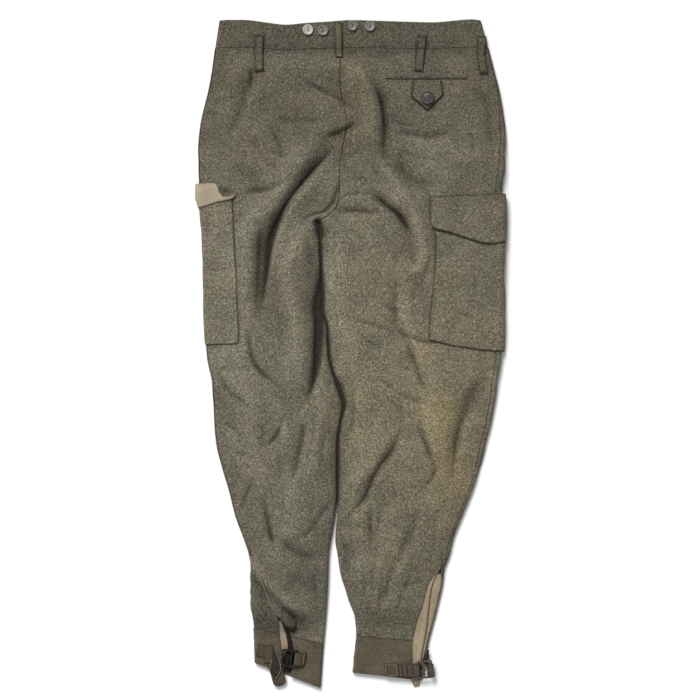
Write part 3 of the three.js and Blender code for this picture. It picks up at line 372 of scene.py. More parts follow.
def uneven(x, down):
    """Smooth random heights."""
    total = np.zeros(x.shape)
    for lattice, (spacing, height) in zip(LATTICES, UNEVEN):
        u = (x - LATTICE_START[0]) / spacing
        v = (down - LATTICE_START[1]) / spacing
        i, j = np.floor(u).astype(int), np.floor(v).astype(int)
        a, b = u - i, v - j
        a, b = a * a * (3 - 2 * a), b * b * (3 - 2 * b)
        (p, q), (r, s) = [[lattice[(i + di) % LATTICE[0], (j + dj) % LATTICE[1]] for di in (0, 1)]
                          for dj in (0, 1)]
        total += height * ((p * (1 - a) + q * a) * (1 - b) + (r * (1 - a) + s * a) * b)
    return total


PUFF_ROWS = (38, 80, 930, 985)  # the layers part between the first two and meet again between the last two
SPLIT_ROWS = (310, 340)  # the two legs get an edge of their own here
PILLOW = 6.5  # how much higher a leg is in its middle than at its edges
PILLOW_REACH = 62  # how far in from an outer edge it has its full height
PILLOW_INNER = 0.6  # the same at the inner edges, as a share


def puff(down):
    return smooth(down, *PUFF_ROWS[:2]) * (1 - smooth(down, *PUFF_ROWS[2:]))


def split_share(down):
    return smooth(down, *SPLIT_ROWS)


def section(half, column, down):
    table = SECTIONS[half]
    return curve(table[0], table[column], down)


def inner_edge(half, down):
    joined = curve(MIDDLE[0], MIDDLE[1 if half == "left" else 2], down)
    return np.where(down < LEGS_PART, joined, curve(*INNER_EDGE[half], down))


def pillow(x, down):
    inside = np.minimum(x - section("left", 1, down), section("right", 1, down) - x)
    left, right = inner_edge("left", down), inner_edge("right", down)
    to_gap = np.where(x < (left + right) / 2, left - x, x - right)
    full = smooth(inside, -12, PILLOW_REACH)
    near_gap = 1 - smooth(to_gap, -10, PILLOW_REACH * PILLOW_INNER)
    return PILLOW * np.minimum(full, 1 - split_share(down) * near_gap)


def top_form(x, down):
    """Height of the middle of the upper layer."""
    total = sum(ridge(name, row, x, down) for name, row in FOLDS.items())
    fine = sum(ridge(name, row, x, down) for name, row in CREASES.items())
    swell = puff(down)
    level = BAND_LEVEL + (LEG_LEVEL - BAND_LEVEL + total + pillow(x, down)) * swell
    level = level + fine * (0.2 + 0.8 * swell) + uneven(x, down) * (0.25 + 0.75 * swell)
    spare = level - LOWEST_TOP - LEVELLING
    return np.where(spare > 0, level, LOWEST_TOP + LEVELLING * np.exp(np.minimum(spare, 0) / LEVELLING))


GRID_STEP = 2.0
GRID_X = np.arange(-310, 311, GRID_STEP)
GRID_DOWN = np.arange(-40, 1111, GRID_STEP)


def sample(field, x, down):
    """Smooth look-up in a field over the grid."""
    u = np.clip((x - GRID_X[0]) / GRID_STEP, 1, len(GRID_X) - 3)
    v = np.clip((down - GRID_DOWN[0]) / GRID_STEP, 1, len(GRID_DOWN) - 3)
    i, j = np.floor(u).astype(int), np.floor(v).astype(int)

    def weights(t):
        return [((2 - t) * t - 1) * t / 2, ((3 * t - 5) * t * t + 2) / 2, ((4 - 3 * t) * t + 1) * t / 2,
                (t - 1) * t * t / 2]

    out = 0
    for a, wa in enumerate(weights(v - j)):
        for b, wb in enumerate(weights(u - i)):
            out = out + wa * wb * field[j + a - 1, i + b - 1]
    return out


def blurred(field, radius):
    reach = int(3 * radius / GRID_STEP)
    kernel = np.exp(-0.5 * (np.arange(-reach, reach + 1) * GRID_STEP / radius) ** 2)
    kernel /= kernel.sum()
    for axis in (0, 1):
        field = np.apply_along_axis(lambda row: np.convolve(np.pad(row, reach, mode="edge"), kernel, "valid"),
                                    axis, field)
    return field


def top_level(x, down):
    return sample(TOP_FORM, x, down)


def within(x, down, xs, downs):
    """1 in a rectangle, falling to 0 round it."""
    away = np.maximum.reduce([xs[0] - x, x - xs[1], downs[0] - down, down - downs[1], np.zeros(x.shape)])
    return 1 - smooth(away, 0, UNDER_RAMP)


def under_lift(x, down):
    """How much the pockets underneath lift a leg."""
    rows, flap_rows = [(low - UNDER_MARGIN, high + UNDER_MARGIN) for low, high in (POCKET_ROWS, FLAP_ROWS)]
    left = (-FAR, POCKET_UNDER["left"] + UNDER_MARGIN)
    right = (POCKET_UNDER["right"] - UNDER_MARGIN, FAR)
    pockets = within(x, down, left, rows) + within(x, down, right, rows)
    return (POCKET + LAY_GAP) * pockets + (FLAP + LAY_GAP) * within(x, down, right, flap_rows)


GRID = np.meshgrid(GRID_X, GRID_DOWN)
TOP_FORM = top_form(*GRID)
UNDER_FORM = sum(ridge(name, row, *GRID) for name, row in UNDER_CREASES.items())
HOLLOW_SCALES = [(4, 0.7), (9, 0.5), (24, 0.6)]  # radius and share
# Above 0 in the folds, below 0 on the ridges: painted shade in the folds, painted highlight on the ridges
HOLLOWS = sum(share * (blurred(TOP_FORM, radius) - TOP_FORM) for radius, share in HOLLOW_SCALES)
GAP_DARK, GAP_REACH = 5.8, 3.0  # painted shade along the line where the legs touch
# Painted shadows as x, down, half-widths and depth: under the lifted flap, and under the gathers of the left
# slit
MOUTH, GATHERS = (-201, 274, 9, 6, 5), (-98.5, 975, 9, 4.5, 9)
GAP_ROWS = (318, 335, 770, 800)  # where that line's painted shade starts and ends
legs_line = (curve(MIDDLE[0], MIDDLE[1], GRID[1]) + curve(MIDDLE[0], MIDDLE[2], GRID[1])) / 2
PAINTED_SHADOWS = (GAP_DARK * np.exp(-(((GRID[0] - legs_line) / GAP_REACH) ** 2)) * smooth(GRID[1], *GAP_ROWS[:2])
            * (1 - smooth(GRID[1], *GAP_ROWS[2:])))
for x, down, wide, tall, dark in (MOUTH, GATHERS):
    PAINTED_SHADOWS += dark * np.exp(-(((GRID[0] - x) / wide) ** 2) - ((GRID[1] - down) / tall) ** 2)


def beside(points):
    """1 along a line of [x, down] points, falling to 0 at its sides."""
    nearest = np.full(GRID[0].shape, np.inf)
    for (ax, ay), (bx, by) in zip(points[:-1], points[1:]):
        dx, dy = bx - ax, by - ay
        t = np.clip(((GRID[0] - ax) * dx + (GRID[1] - ay) * dy) / (dx * dx + dy * dy), 0, 1)
        nearest = np.minimum(nearest, np.hypot(GRID[0] - ax - t * dx, GRID[1] - ay - t * dy))
    return np.exp(-((nearest / CONTACT_REACH) ** 2))


PAINTED_SHADOWS += sum(dark * beside(points) for points, dark in CONTACTS)
for loop_path, loop_width in LOOP_PATHS.values():
    sides = [[(x + way * loop_width / 2, down) for x, down in loop_path] for way in (-1, 1)]
    PAINTED_SHADOWS += LOOP_CONTACT * beside(sides[0] + sides[1][::-1])
LEGS_TOUCH = 1.25  # how much nearer each other the legs lie than their solids
TOUCH_ROWS = (755, 790)  # where they stop doing so
EDGE_SHADE_REACH = 1.7  # how far in from a sewn edge the cloth carries painted shade
TUCK_REACH = 3.2  # how far in from an edge the cloth bends down to it
EDGE_LEAST = 0.06  # share of its thickness that a rounded edge keeps
WAIST_WAVE_END = 90  # from here down the rows no longer follow the waist's edge
HOLLOW_LIMITS = (-4, 8)
HOLLOW_HEIGHTS, PAINTED_SHADOW_HEIGHTS = (3.5, 6), (2.2, 3.2)  # the layer underneath has neither


def edges_of(half, down, cloth):
    inward = INWARD[half]
    outside = section(half, 1, down)
    inside = inner_edge(half, down)
    outer = outside + inward * (cloth / 2 + under_lift(outside, down))
    closed = LEGS_TOUCH * (1 - smooth(down, *TOUCH_ROWS))
    inner = inside - inward * (cloth / 2 - closed) * split_share(down)
    return outer, inner, np.abs(inner - outer)


def ring(half, down, along, cloth):
    """Points of the middle of the cloth. along is the distance round the flattened tube from its outer edge:
    positive underneath, negative over the top, and past the inner edge over the top again."""
    down, along = np.broadcast_arrays(np.asarray(down, float), np.asarray(along, float))
    inward = INWARD[half]
    outer, _, width = edges_of(half, down, cloth)
    share = split_share(down)
    under = (along >= 0) & (along <= width)
    from_outer = np.abs(np.where(under | (along < 0), along, 2 * width - along))
    from_inner = np.maximum(width - from_outer, 0)
    inner_radius = np.maximum(EDGE_RADIUS * share, 0.01)
    turn = np.clip(from_outer / EDGE_RADIUS, 0, 1) * math.pi / 2
    turn_in = np.clip(from_inner / inner_radius, 0, 1) * math.pi / 2
    at_outer = from_outer < EDGE_RADIUS
    at_inner = ~at_outer & (from_inner < inner_radius)
    across = np.where(at_outer, EDGE_RADIUS * (1 - np.cos(turn)), from_outer)
    across = np.where(at_inner, width - inner_radius * (1 - np.cos(turn_in)), across)
    rise = np.where(at_outer, np.sin(turn), 1)
    rise = np.where(at_inner, 1 + (np.sin(turn_in) - 1) * share, rise)
    x = outer + inward * across
    fade = 1 - smooth(down, 0, WAIST_WAVE_END)
    place = down + section(half, 4, down) * across / width + curve(*WAIST_WAVE, x) * fade
    lift = under_lift(x, place)
    low = cloth / 2 + lift + np.maximum(sample(UNDER_FORM, x, place), 0)
    high = np.maximum(top_level(x, place) + lift, low + NEAREST_LAYERS)
    middle = (low + high) / 2
    z = middle + (np.where(under, low, high) - middle) * rise
    return np.stack([x, LENGTH / 2 - place, z], axis=-1)


def unit(vectors):
    return vectors / np.maximum(np.linalg.norm(vectors, axis=-1, keepdims=True), 1e-9)


def normals_of(points, inward):
    around = np.gradient(points, axis=1)
    lengthwise = np.gradient(points, axis=0)
    return unit(np.cross(around, lengthwise) * inward)


def steps(low, high, spacing, border=(0.35, 1.0)):
    """Places from low to high, closer together at both ends, where the cloth's edge is rounded."""
    count = max(int(abs(high - low - 2 * border[-1]) / spacing), 1) + 1
    middle = np.linspace(low + border[-1], high - border[-1], count)
    return np.concatenate([[low, low + border[0]], middle, [high - border[0], high]])


def mesh_object(name, points, faces, uv=None):
    """A smooth object from points in millimetres and a list or an array of faces."""
    mesh = bpy.data.meshes.new(name)
    faces = faces if isinstance(faces, list) else faces.tolist()
    mesh.from_pydata((np.asarray(points) / 1000).tolist(), [], faces)
    if uv is not None:
        layer = mesh.uv_layers.new(name="cut")
        corner = np.empty(len(mesh.loops), dtype=np.int32)
        mesh.loops.foreach_get("vertex_index", corner)
        layer.data.foreach_set("uv", (np.asarray(uv) / 1000)[corner].ravel())
    mesh.shade_smooth()
    obj = bpy.data.objects.new(name, mesh)
    bpy.context.scene.collection.objects.link(obj)
    return obj


def shell(name, points, normal, thickness, round_edge=1.0, tuck=0.0, inside_out=False, dark=1.0):
    """A closed wall of cloth with rounded edges round a grid of points. tuck is how far its edges sink,
    dark how much painted shade lies along them."""
    rows, cols = points.shape[:2]
    run = np.linalg.norm(np.diff(points, axis=1), axis=-1)
    run = np.concatenate([np.zeros((rows, 1)), np.cumsum(run, axis=1)], axis=1)
    fall = np.linalg.norm(np.diff(points, axis=0), axis=-1)
    fall = np.concatenate([np.zeros((1, cols)), np.cumsum(fall, axis=0)], axis=0)
    edge = np.minimum.reduce([run, run[:, -1:] - run, fall, fall[-1:, :] - fall])
    full = np.sqrt(np.clip(1 - (1 - np.clip(edge / round_edge, 0, 1)) ** 2, 0, 1))
    full = full * (1 - EDGE_LEAST) + EDGE_LEAST
    half = (thickness / 2 * full)[..., None]
    sunk = points - normal * (tuck * (1 - smooth(edge, 0, TUCK_REACH)))[..., None]
    both = np.concatenate([(sunk + normal * half).reshape(-1, 3), (sunk - normal * half).reshape(-1, 3)])
    index = np.arange(rows * cols).reshape(rows, cols)
    quads = np.stack([index[:-1, :-1], index[:-1, 1:], index[1:, 1:], index[1:, :-1]], -1).reshape(-1, 4)
    loop = np.concatenate([index[0, :-1], index[:-1, -1], index[-1, :0:-1], index[:0:-1, 0]])
    after = np.roll(loop, -1)
    shift = rows * cols
    rim = np.stack([after, loop, loop + shift, after + shift], -1)
    faces = np.concatenate([quads, quads[:, ::-1] + shift, rim])
    if inside_out:
        faces = faces[:, ::-1]
    uv = np.stack([run, fall], -1).reshape(-1, 2)
    obj = mesh_object(name, both, faces, np.concatenate([uv, uv]))
    # Painted shade along the piece's edges, kept in the seam attribute
    edge_shade = dark * np.exp(-((edge / EDGE_SHADE_REACH) ** 2)).reshape(-1)
    obj.data.attributes.new("seam", "FLOAT", "POINT").data.foreach_set("value", np.tile(edge_shade, 2))
    return obj


def mark_hollows(obj, more=0.0):
    """Stores how deep in a fold each point lies, for the painted shade in the folds and the painted highlight
    on the ridges; the painted shadows and `more` are added to it.
    """
    mesh = obj.data
    co = np.zeros(len(mesh.vertices) * 3)
    mesh.vertices.foreach_get("co", co)
    x, y, z = co.reshape(-1, 3).T * 1000
    down = LENGTH / 2 - y
    above = smooth(z, *HOLLOW_HEIGHTS)
    depth = np.clip(sample(HOLLOWS, x, down), *HOLLOW_LIMITS) * above + more
    # painted shadows: where the legs touch, under the flap and the gathers, and beside sewn-on pieces
    depth += sample(PAINTED_SHADOWS, x, down) * smooth(z, *PAINTED_SHADOW_HEIGHTS)
    depth += UNDER_DARK * sample(UNDER_FORM, x, down) * (1 - above)
    mesh.attributes.new("hollow", "FLOAT", "POINT").data.foreach_set("value", depth)


def grid_on(half, downs, along, cloth=WOOL):
    """The ring's points for rows `downs` and an array of distances per row."""
    along = np.asarray(along, float)
    downs = np.asarray(downs, float)
    down = downs[:, None] if downs.ndim == 1 else downs
    return ring(half, np.broadcast_to(down, along.shape), along, cloth)


def share_columns(low, high, count_like):
    """Columns between two limits per row, with the spacing pattern of `count_like`, a list from 0 to 1."""
    return low[:, None] + (high - low)[:, None] * count_like[None, :]


def even(length, spacing):
    s = steps(0, length, spacing)
    return s / length


BODY = "garment"


def dress(obj, material, body=BODY):
    """Gives a piece its material and its body."""
    obj.data.materials.append(material)
    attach(obj, body)


def trim(obj, material, shade=0.0):
    """Finishes a small piece of cloth that no solid stands for."""
    mark_hollows(obj, shade)
    dress(obj, material)


def finish_cloth(obj, material, node, flat, area=None, rests_on=(), slot=None, shade=0.0):
    """Finishes the cloth that stands for a node of the CAD model; flat and area, in metres, are not used."""
    mark_hollows(obj, shade)
    dress(obj, material)
    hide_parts(node)


# Materials
class Nodes:
    """Short calls for the nodes of one material."""

    def __init__(self, name, roughness, metallic=0.0, sheen=0.0, specular=0.5):
        self.material = bpy.data.materials.new(name)
        self.material.use_nodes = True
        self.tree = self.material.node_tree
        self.shader = self.tree.nodes["Principled BSDF"]
        self.shader.inputs["Roughness"].default_value = roughness
        self.shader.inputs["Metallic"].default_value = metallic
        self.shader.inputs["Sheen Weight"].default_value = sheen
        self.shader.inputs["Sheen Roughness"].default_value = 0.5
        self.shader.inputs["Specular IOR Level"].default_value = specular
        self.coordinates = self.tree.nodes.new("ShaderNodeTexCoord")

    def link(self, source, target):
        self.tree.links.new(source, target)

    def add(self, kind, vector=None, **values):
        """A node with some of its sockets set."""
        node = self.tree.nodes.new(f"ShaderNode{kind}")
        for name, value in values.items():
            node.inputs[name.replace("_", " ").title()].default_value = value
        if vector is not None:
            self.link(vector, node.inputs["Vector"])
        return node

    def place(self, kind="Object", scale=(1, 1, 1), rotation=(0, 0, 0), move=(0, 0, 0)):
        source = self.coordinates.outputs[kind]
        return self.add("Mapping", source, scale=scale, rotation=rotation, location=move).outputs["Vector"]

    def noise(self, vector, scale, detail=2.0, rough=0.5):
        return self.add("TexNoise", vector, scale=scale, detail=detail, roughness=rough).outputs["Fac"]

    def wave(self, vector, scale, axis, distortion):
        node = self.add("TexWave", vector, scale=scale, distortion=distortion, detail=1.0)
        node.bands_direction = axis
        return node.outputs["Fac"]

    def math(self, operation, a, b=None, clamp=False):
        node = self.tree.nodes.new("ShaderNodeMath")
        node.operation = operation
        node.use_clamp = clamp
        for i, value in enumerate((a, b)):
            if value is None:
                continue
            if isinstance(value, (int, float)):
                node.inputs[i].default_value = value
            else:
                self.link(value, node.inputs[i])
        return node.outputs[0]

    def spread(self, value, low, high, to_low=0.0, to_high=1.0):
        node = self.add("MapRange", from_min=low, from_max=high, to_min=to_low, to_max=to_high)
        self.link(value, node.inputs["Value"])
        return node.outputs["Result"]

    def ramp(self, value, stops):
        node = self.tree.nodes.new("ShaderNodeValToRGB")
        ramp = node.color_ramp
        while len(ramp.elements) < len(stops):
            ramp.elements.new(0.5)
        for element, (position, colour) in zip(ramp.elements, stops):
            element.position = position
            element.color = (*colour, 1)
        self.link(value, node.inputs["Fac"])
        return node.outputs["Color"]

    def down(self):
        """How far down the garment a place is, in mm."""
        split = self.tree.nodes.new("ShaderNodeSeparateXYZ")
        self.link(self.coordinates.outputs["Object"], split.inputs[0])
        return self.math("ADD", self.math("MULTIPLY", split.outputs["Y"], -1000.0), LENGTH / 2)

    def attribute(self, name):
        node = self.tree.nodes.new("ShaderNodeAttribute")
        node.attribute_name = name
        return node.outputs["Fac"]

    def mix(self, share, a, b, kind="MIX"):
        node = self.tree.nodes.new("ShaderNodeMix")
        node.data_type = "RGBA"
        node.blend_type = kind
        sockets = [s for s in node.inputs if s.enabled]
        for socket, value in zip(sockets, (share, a, b)):
            if isinstance(value, (int, float)):
                socket.default_value = value
            elif isinstance(value, tuple):
                socket.default_value = (*value, 1)
            else:
                self.link(value, socket)
        return [s for s in node.outputs if s.enabled][0]

    def dye(self, base, share, strength, shade):
        """`base`, turned towards a colour where `share` is high."""
        return self.mix(self.math("MULTIPLY", share, strength), base, shade)

    def tint(self, base, share, strength, times):
        """`base`, multiplied by a colour where `share` is high."""
        return self.mix(self.math("MULTIPLY", share, strength), base, self.mix(1.0, base, times, "MULTIPLY"))

    def toned(self, base, tone):
        """`base` times a factor between 0.75 and 1.25."""
        low, high = 0.75, 1.25
        factor = self.ramp(self.spread(tone, low, high), [(0, (low,) * 3), (1, (high,) * 3)])
        return self.mix(1.0, base, factor, "MULTIPLY")

    def spot(self, x, down, wide, tall, turn=0.0):
        """1 at a place on the garment, falling smoothly to 0 at an ellipse round it."""
        y = LENGTH / 2 - down
        c, s = math.cos(turn), math.sin(turn)
        centre = ((x * c + y * s) / 1000, (-x * s + y * c) / 1000)
        node = self.tree.nodes.new("ShaderNodeVectorMath")
        node.operation = "LENGTH"
        turned = self.tree.nodes.new("ShaderNodeVectorRotate")
        turned.rotation_type = "Z_AXIS"
        turned.inputs["Angle"].default_value = -turn
        self.link(self.coordinates.outputs["Object"], turned.inputs["Vector"])
        placed = self.tree.nodes.new("ShaderNodeMapping")
        placed.inputs["Location"].default_value = (-centre[0] * 1000 / wide, -centre[1] * 1000 / tall, 0)
        placed.inputs["Scale"].default_value = (1000 / wide, 1000 / tall, 0.001)
        self.link(turned.outputs["Vector"], placed.inputs["Vector"])
        self.link(placed.outputs["Vector"], node.inputs[0])
        falling = self.tree.nodes.new("ShaderNodeMapRange")
        falling.interpolation_type = "SMOOTHSTEP"
        falling.inputs["From Min"].default_value = 1
        falling.inputs["From Max"].default_value = 0
        self.link(node.outputs["Value"], falling.inputs["Value"])
        return falling.outputs["Result"]

    def done(self, colour, height=None, distance=0.0004, strength=1.0):
        self.link(colour, self.shader.inputs["Base Color"])
        if height is not None:
            bump = self.tree.nodes.new("ShaderNodeBump")
            bump.inputs["Distance"].default_value = distance
            bump.inputs["Strength"].default_value = strength
            self.link(height, bump.inputs["Height"])
            self.link(bump.outputs["Normal"], self.shader.inputs["Normal"])
        return self.material


def colour(red, green, blue):
    """A colour given as the photo's 0 to 255 values."""
    return tuple(((v / 255 + 0.055) / 1.055) ** 2.4 for v in (red, green, blue))


# Shades of the wool's specks from dark to light, and how light it is at some places down the garment
WOOL_SHADES = [(0.0, (52, 49, 43)), (0.3, (78, 74, 64)), (0.55, (103, 99, 86)), (0.8, (130, 125, 110)),
               (1.0, (165, 160, 144))]
WOOL_TONES = [(0, 0.68), (60, 0.72), (130, 0.82), (240, 0.92), (330, 1.06), (560, 1.12), (700, 1.04),
              (860, 0.94), (940, 0.86), (1060, 0.86)]
# Wide patches as x, down and half-widths, with their strength and tint: the browned right leg, the warm middle
# of the seat and painted shade on the left thigh
WIDE_SPOTS = [((100, 620, 230, 420), 0.6, (1.14, 1.07, 0.93)), ((-6, 150, 44, 190), 0.7, (1.1, 1.04, 0.9)),
              ((-126, 430, 62, 150), 0.5, (0.74, 0.74, 0.74))]


def wool_material(name):
    """Heathered, fulled wool: specks and fibres, painted shade in the folds and along the edges, painted
    highlight on the ridges, and the stains of the right leg.
    """
    n = Nodes(name, 1.0, sheen=0.05, specular=0.1)
    flat = n.place()
    grain = n.noise(flat, 700, 4, 0.72)
    clumps = n.noise(flat, 340, 3, 0.6)
    hair_a = n.noise(n.place(scale=(1, 0.2, 1), rotation=(0, 0, 0.5)), 900, 2, 0.5)
    hair_b = n.noise(n.place(scale=(0.2, 1, 1), rotation=(0, 0, 0.35)), 900, 2, 0.5)
    hairs = n.math("MAXIMUM", hair_a, hair_b)
    speck = n.math("ADD", n.math("MULTIPLY", grain, 0.62), n.math("MULTIPLY", clumps, 0.38))
    base = n.ramp(n.spread(speck, 0.365, 0.635), [(share, colour(*shade)) for share, shade in WOOL_SHADES])
    base = n.dye(base, n.spread(hairs, 0.6, 0.78), 0.45, colour(150, 146, 130))
    broad = n.spread(n.noise(flat, 13, 3, 0.55), 0.3, 0.7, 0.9, 1.1)
    middle = n.spread(n.noise(flat, 46, 3, 0.6), 0.3, 0.7, 0.9, 1.1)
    base = n.toned(base, n.math("MULTIPLY", broad, middle))
    hollow = n.attribute("hollow")
    # Painted shade: folds, the gap between the legs and the cloth beside sewn-on pieces turn near black
    base = n.dye(base, n.spread(hollow, 0.2, 6.4), 0.88, colour(26, 23, 18))
    # Painted highlight: the ridges turn lighter
    base = n.tint(base, n.spread(hollow, -0.2, -3), 0.62, (1.35, 1.33, 1.3))
    base = n.tint(base, n.spread(n.noise(flat, 7, 2, 0.5), 0.35, 0.65), 0.5, (1.05, 1.0, 0.9))
    for place, times in ((0.11, (0.93, 1.02, 0.97)), (0.37, (1.08, 0.98, 0.95))):
        patches = n.spread(n.noise(n.place(move=(place, 0, 0)), 24, 3, 0.6), 0.48, 0.62)
        base = n.tint(base, patches, 0.4, times)
    # Painted shade along the edges of each piece
    base = n.dye(base, n.attribute("seam"), 0.66, colour(30, 27, 21))
    tones = n.ramp(n.spread(n.down(), 0, LENGTH), [(down / LENGTH, (tone,) * 3) for down, tone in WOOL_TONES])
    base = n.mix(1.0, base, tones, "MULTIPLY")
    ragged = n.spread(n.noise(flat, 60, 4, 0.7), 0.3, 0.7, 0.45, 1.0)
    stain = n.math("MULTIPLY", n.spot(148, 640, 62, 82, 0.2), ragged)
    stain = n.math("ADD", stain, n.math("MULTIPLY", n.spot(146, 745, 62, 105), 0.45), True)
    base = n.tint(base, stain, 0.75, (1.42, 1.27, 0.98))
    base = n.tint(base, n.math("MULTIPLY", n.spot(172, 735, 34, 120, -0.28), ragged), 0.6, (1.3, 1.2, 1.0))
    for spot, strength, times in WIDE_SPOTS:
        base = n.tint(base, n.spot(*spot), strength, times)
    smudge = n.math("MULTIPLY", n.spot(192, 612, 46, 38), ragged)
    smudge = n.math("MAXIMUM", smudge, n.math("MULTIPLY", n.spot(-76, 882, 46, 62, 0.5), 0.7))
    base = n.dye(base, smudge, 0.5, (0.05, 0.045, 0.035))
    height = n.math("ADD", n.math("MULTIPLY", grain, 0.7), n.math("MULTIPLY", hairs, 0.5))
    return n.done(base, height, 0.0011, 0.8)


def woven_material(name, dark, light, pitch, mottling=0.12, bump=0.0003):
    """Plain cloth between two colours, with threads laid `pitch` mm apart along the cut of the piece."""
    n = Nodes(name, 0.9, sheen=0.06, specular=0.25)
    lie = n.place("UV")
    weave = n.math("MULTIPLY", n.math("ADD", *[n.wave(lie, 500 / pitch, axis, 0.6) for axis in "XY"]), 0.5)
    flat = n.place()
    grain = n.noise(flat, 520, 3, 0.65)
    broad = n.noise(flat, 32, 4, 0.6)
    value = n.math("ADD", n.math("MULTIPLY", weave, 0.3), n.math("MULTIPLY", grain, 0.7))
    base = n.ramp(n.spread(value, 0.37, 0.63), [(0, colour(*dark)), (1, colour(*light))])
    base = n.toned(base, n.spread(broad, 0.3, 0.7, 1 - mottling, 1 + mottling))
    # Painted shade: folds, gaps and the dark sides of the gussets turn near black
    base = n.dye(base, n.spread(n.attribute("hollow"), 0.4, 6.0), 0.97, colour(8, 7, 6))
    # Painted shade along the edges of each piece
    base = n.dye(base, n.attribute("seam"), 0.55, colour(34, 29, 23))
    return n.done(base, n.math("ADD", weave, n.math("MULTIPLY", grain, 0.5)), bump, 0.8)


def metal_material(name, dark, light):
    """Worn plating with a little rust."""
    n = Nodes(name, 0.42, metallic=0.85, specular=0.5)
    flat = n.place()
    wear = n.spread(n.noise(flat, 260, 4, 0.6), 0.45, 0.62)
    base = n.mix(wear, colour(*dark), colour(*light))
    rust = n.spread(n.noise(flat, 140, 3, 0.6), 0.55, 0.7)
    base = n.dye(base, rust, 0.4, colour(86, 66, 50))
    n.link(n.spread(wear, 0, 1, 0.55, 0.3), n.shader.inputs["Roughness"])
    return n.done(base, n.noise(flat, 700, 2, 0.5), 0.0001, 0.6)


def button_material(name, shade, light):
    n = Nodes(name, 0.5, specular=0.5)
    flat = n.place()
    base = n.mix(n.spread(n.noise(flat, 240, 3, 0.6), 0.35, 0.65), colour(*shade), colour(*light))
    return n.done(base, n.noise(flat, 500, 2, 0.5), 0.00008, 0.7)


wool = wool_material("wool")
canvas = woven_material("canvas", (61, 55, 45), (112, 102, 84), 0.9, mottling=0.22)
cotton = woven_material("cotton", (136, 119, 96), (180, 163, 138), 0.7, mottling=0.14)
pale_cotton = woven_material("pale_cotton", (160, 146, 124), (196, 182, 158), 0.7, mottling=0.08)
webbing = woven_material("webbing", (58, 50, 41), (98, 86, 71), 1.3, bump=0.0005)
thread = woven_material("thread", (66, 61, 52), (100, 94, 82), 0.4)
brown = woven_material("brown_cloth", (74, 69, 54), (128, 119, 95), 0.8, mottling=0.2)
# A darker copy of the webbing, painted shade, for the strap behind, the turned inner face and the strap's
# ridges
dark_web = woven_material("dark_webbing", (34, 29, 23), (60, 52, 42), 1.3, bump=0.0005)
pale_thread = woven_material("pale_thread", (150, 140, 118), (192, 182, 158), 0.4)
rust_thread = woven_material("rust_thread", (132, 98, 76), (166, 130, 104), 0.4)
steel = metal_material("steel", (66, 62, 56), (136, 130, 120))
# A darker copy of the steel, painted shade, for the left buckle
dark_steel = metal_material("dark_steel", (30, 28, 26), (78, 74, 68))


# Sewing
class Thread:
    """Collects stitches, each a short spindle of thread that lies on the cloth."""

    def __init__(self, name, material=None, slot="wool"):
        self.name, self.material, self.slot = name, material or thread, slot
        self.points, self.faces = [], []

    def run(self, line, normal, length=2.5, gap=1.1, width=0.42, sink=0.08):
        """A row of stitches along a line of points with their normals."""
        distance = np.concatenate([[0], np.cumsum(np.linalg.norm(np.diff(line, axis=0), axis=1))])
        if distance[-1] < length:
            return
        starts = np.arange(0.5, distance[-1] - length, length + gap)

        def pick(values, at):
            return np.stack([np.interp(at, distance, values[:, k]) for k in range(3)], -1)

        for start in starts + rng.uniform(-0.12, 0.12, len(starts)):
            a, b = pick(line, np.array([start, start + length]))
            up = pick(normal, np.array([start + length / 2]))[0]
            self.one(a, b, up, width, sink)

    def one(self, a, b, up, width, sink):
        """One spindle from a to b."""
        up = up / max(np.linalg.norm(up), 1e-9)
        way = b - a
        side = np.cross(up, way / max(np.linalg.norm(way), 1e-9))
        base = len(self.points)
        self.points += [a - up * sink, b - up * sink]
        for share in (0.22, 0.78):
            middle = a + way * share + up * (width * 0.25)
            for turn in range(4):
                angle = math.pi / 4 + turn * math.pi / 2
                self.points.append(middle + (side * math.cos(angle) + up * math.sin(angle) * 0.8) * width / 2)
        for turn in range(4):
            i, j = base + 2 + turn, base + 2 + (turn + 1) % 4
            self.faces += [(base, j, i, i), (i, j, j + 4, i + 4), (base + 1, i + 4, j + 4, j + 4)]

    def finish(self):
        faces = [tuple(dict.fromkeys(face)) for face in self.faces]
        dress(mesh_object(self.name, self.points, faces), self.material)


HALF_STEP = 0.5  # how far on either side of a stitch the cloth's slope is taken


def line_on(half, downs, along, out, cloth=WOOL):
    """A line over the cloth and its normals; out is how far above the middle of the cloth it lies."""
    downs, along = np.broadcast_arrays(np.asarray(downs, float), np.asarray(along, float))
    e = HALF_STEP
    ahead = ring(half, downs, along + e, cloth) - ring(half, downs, along - e, cloth)
    below = ring(half, downs + e, along, cloth) - ring(half, downs - e, along, cloth)
    normal = unit(np.cross(ahead, below) * INWARD[half])
    return ring(half, downs, along, cloth) + normal * out, normal


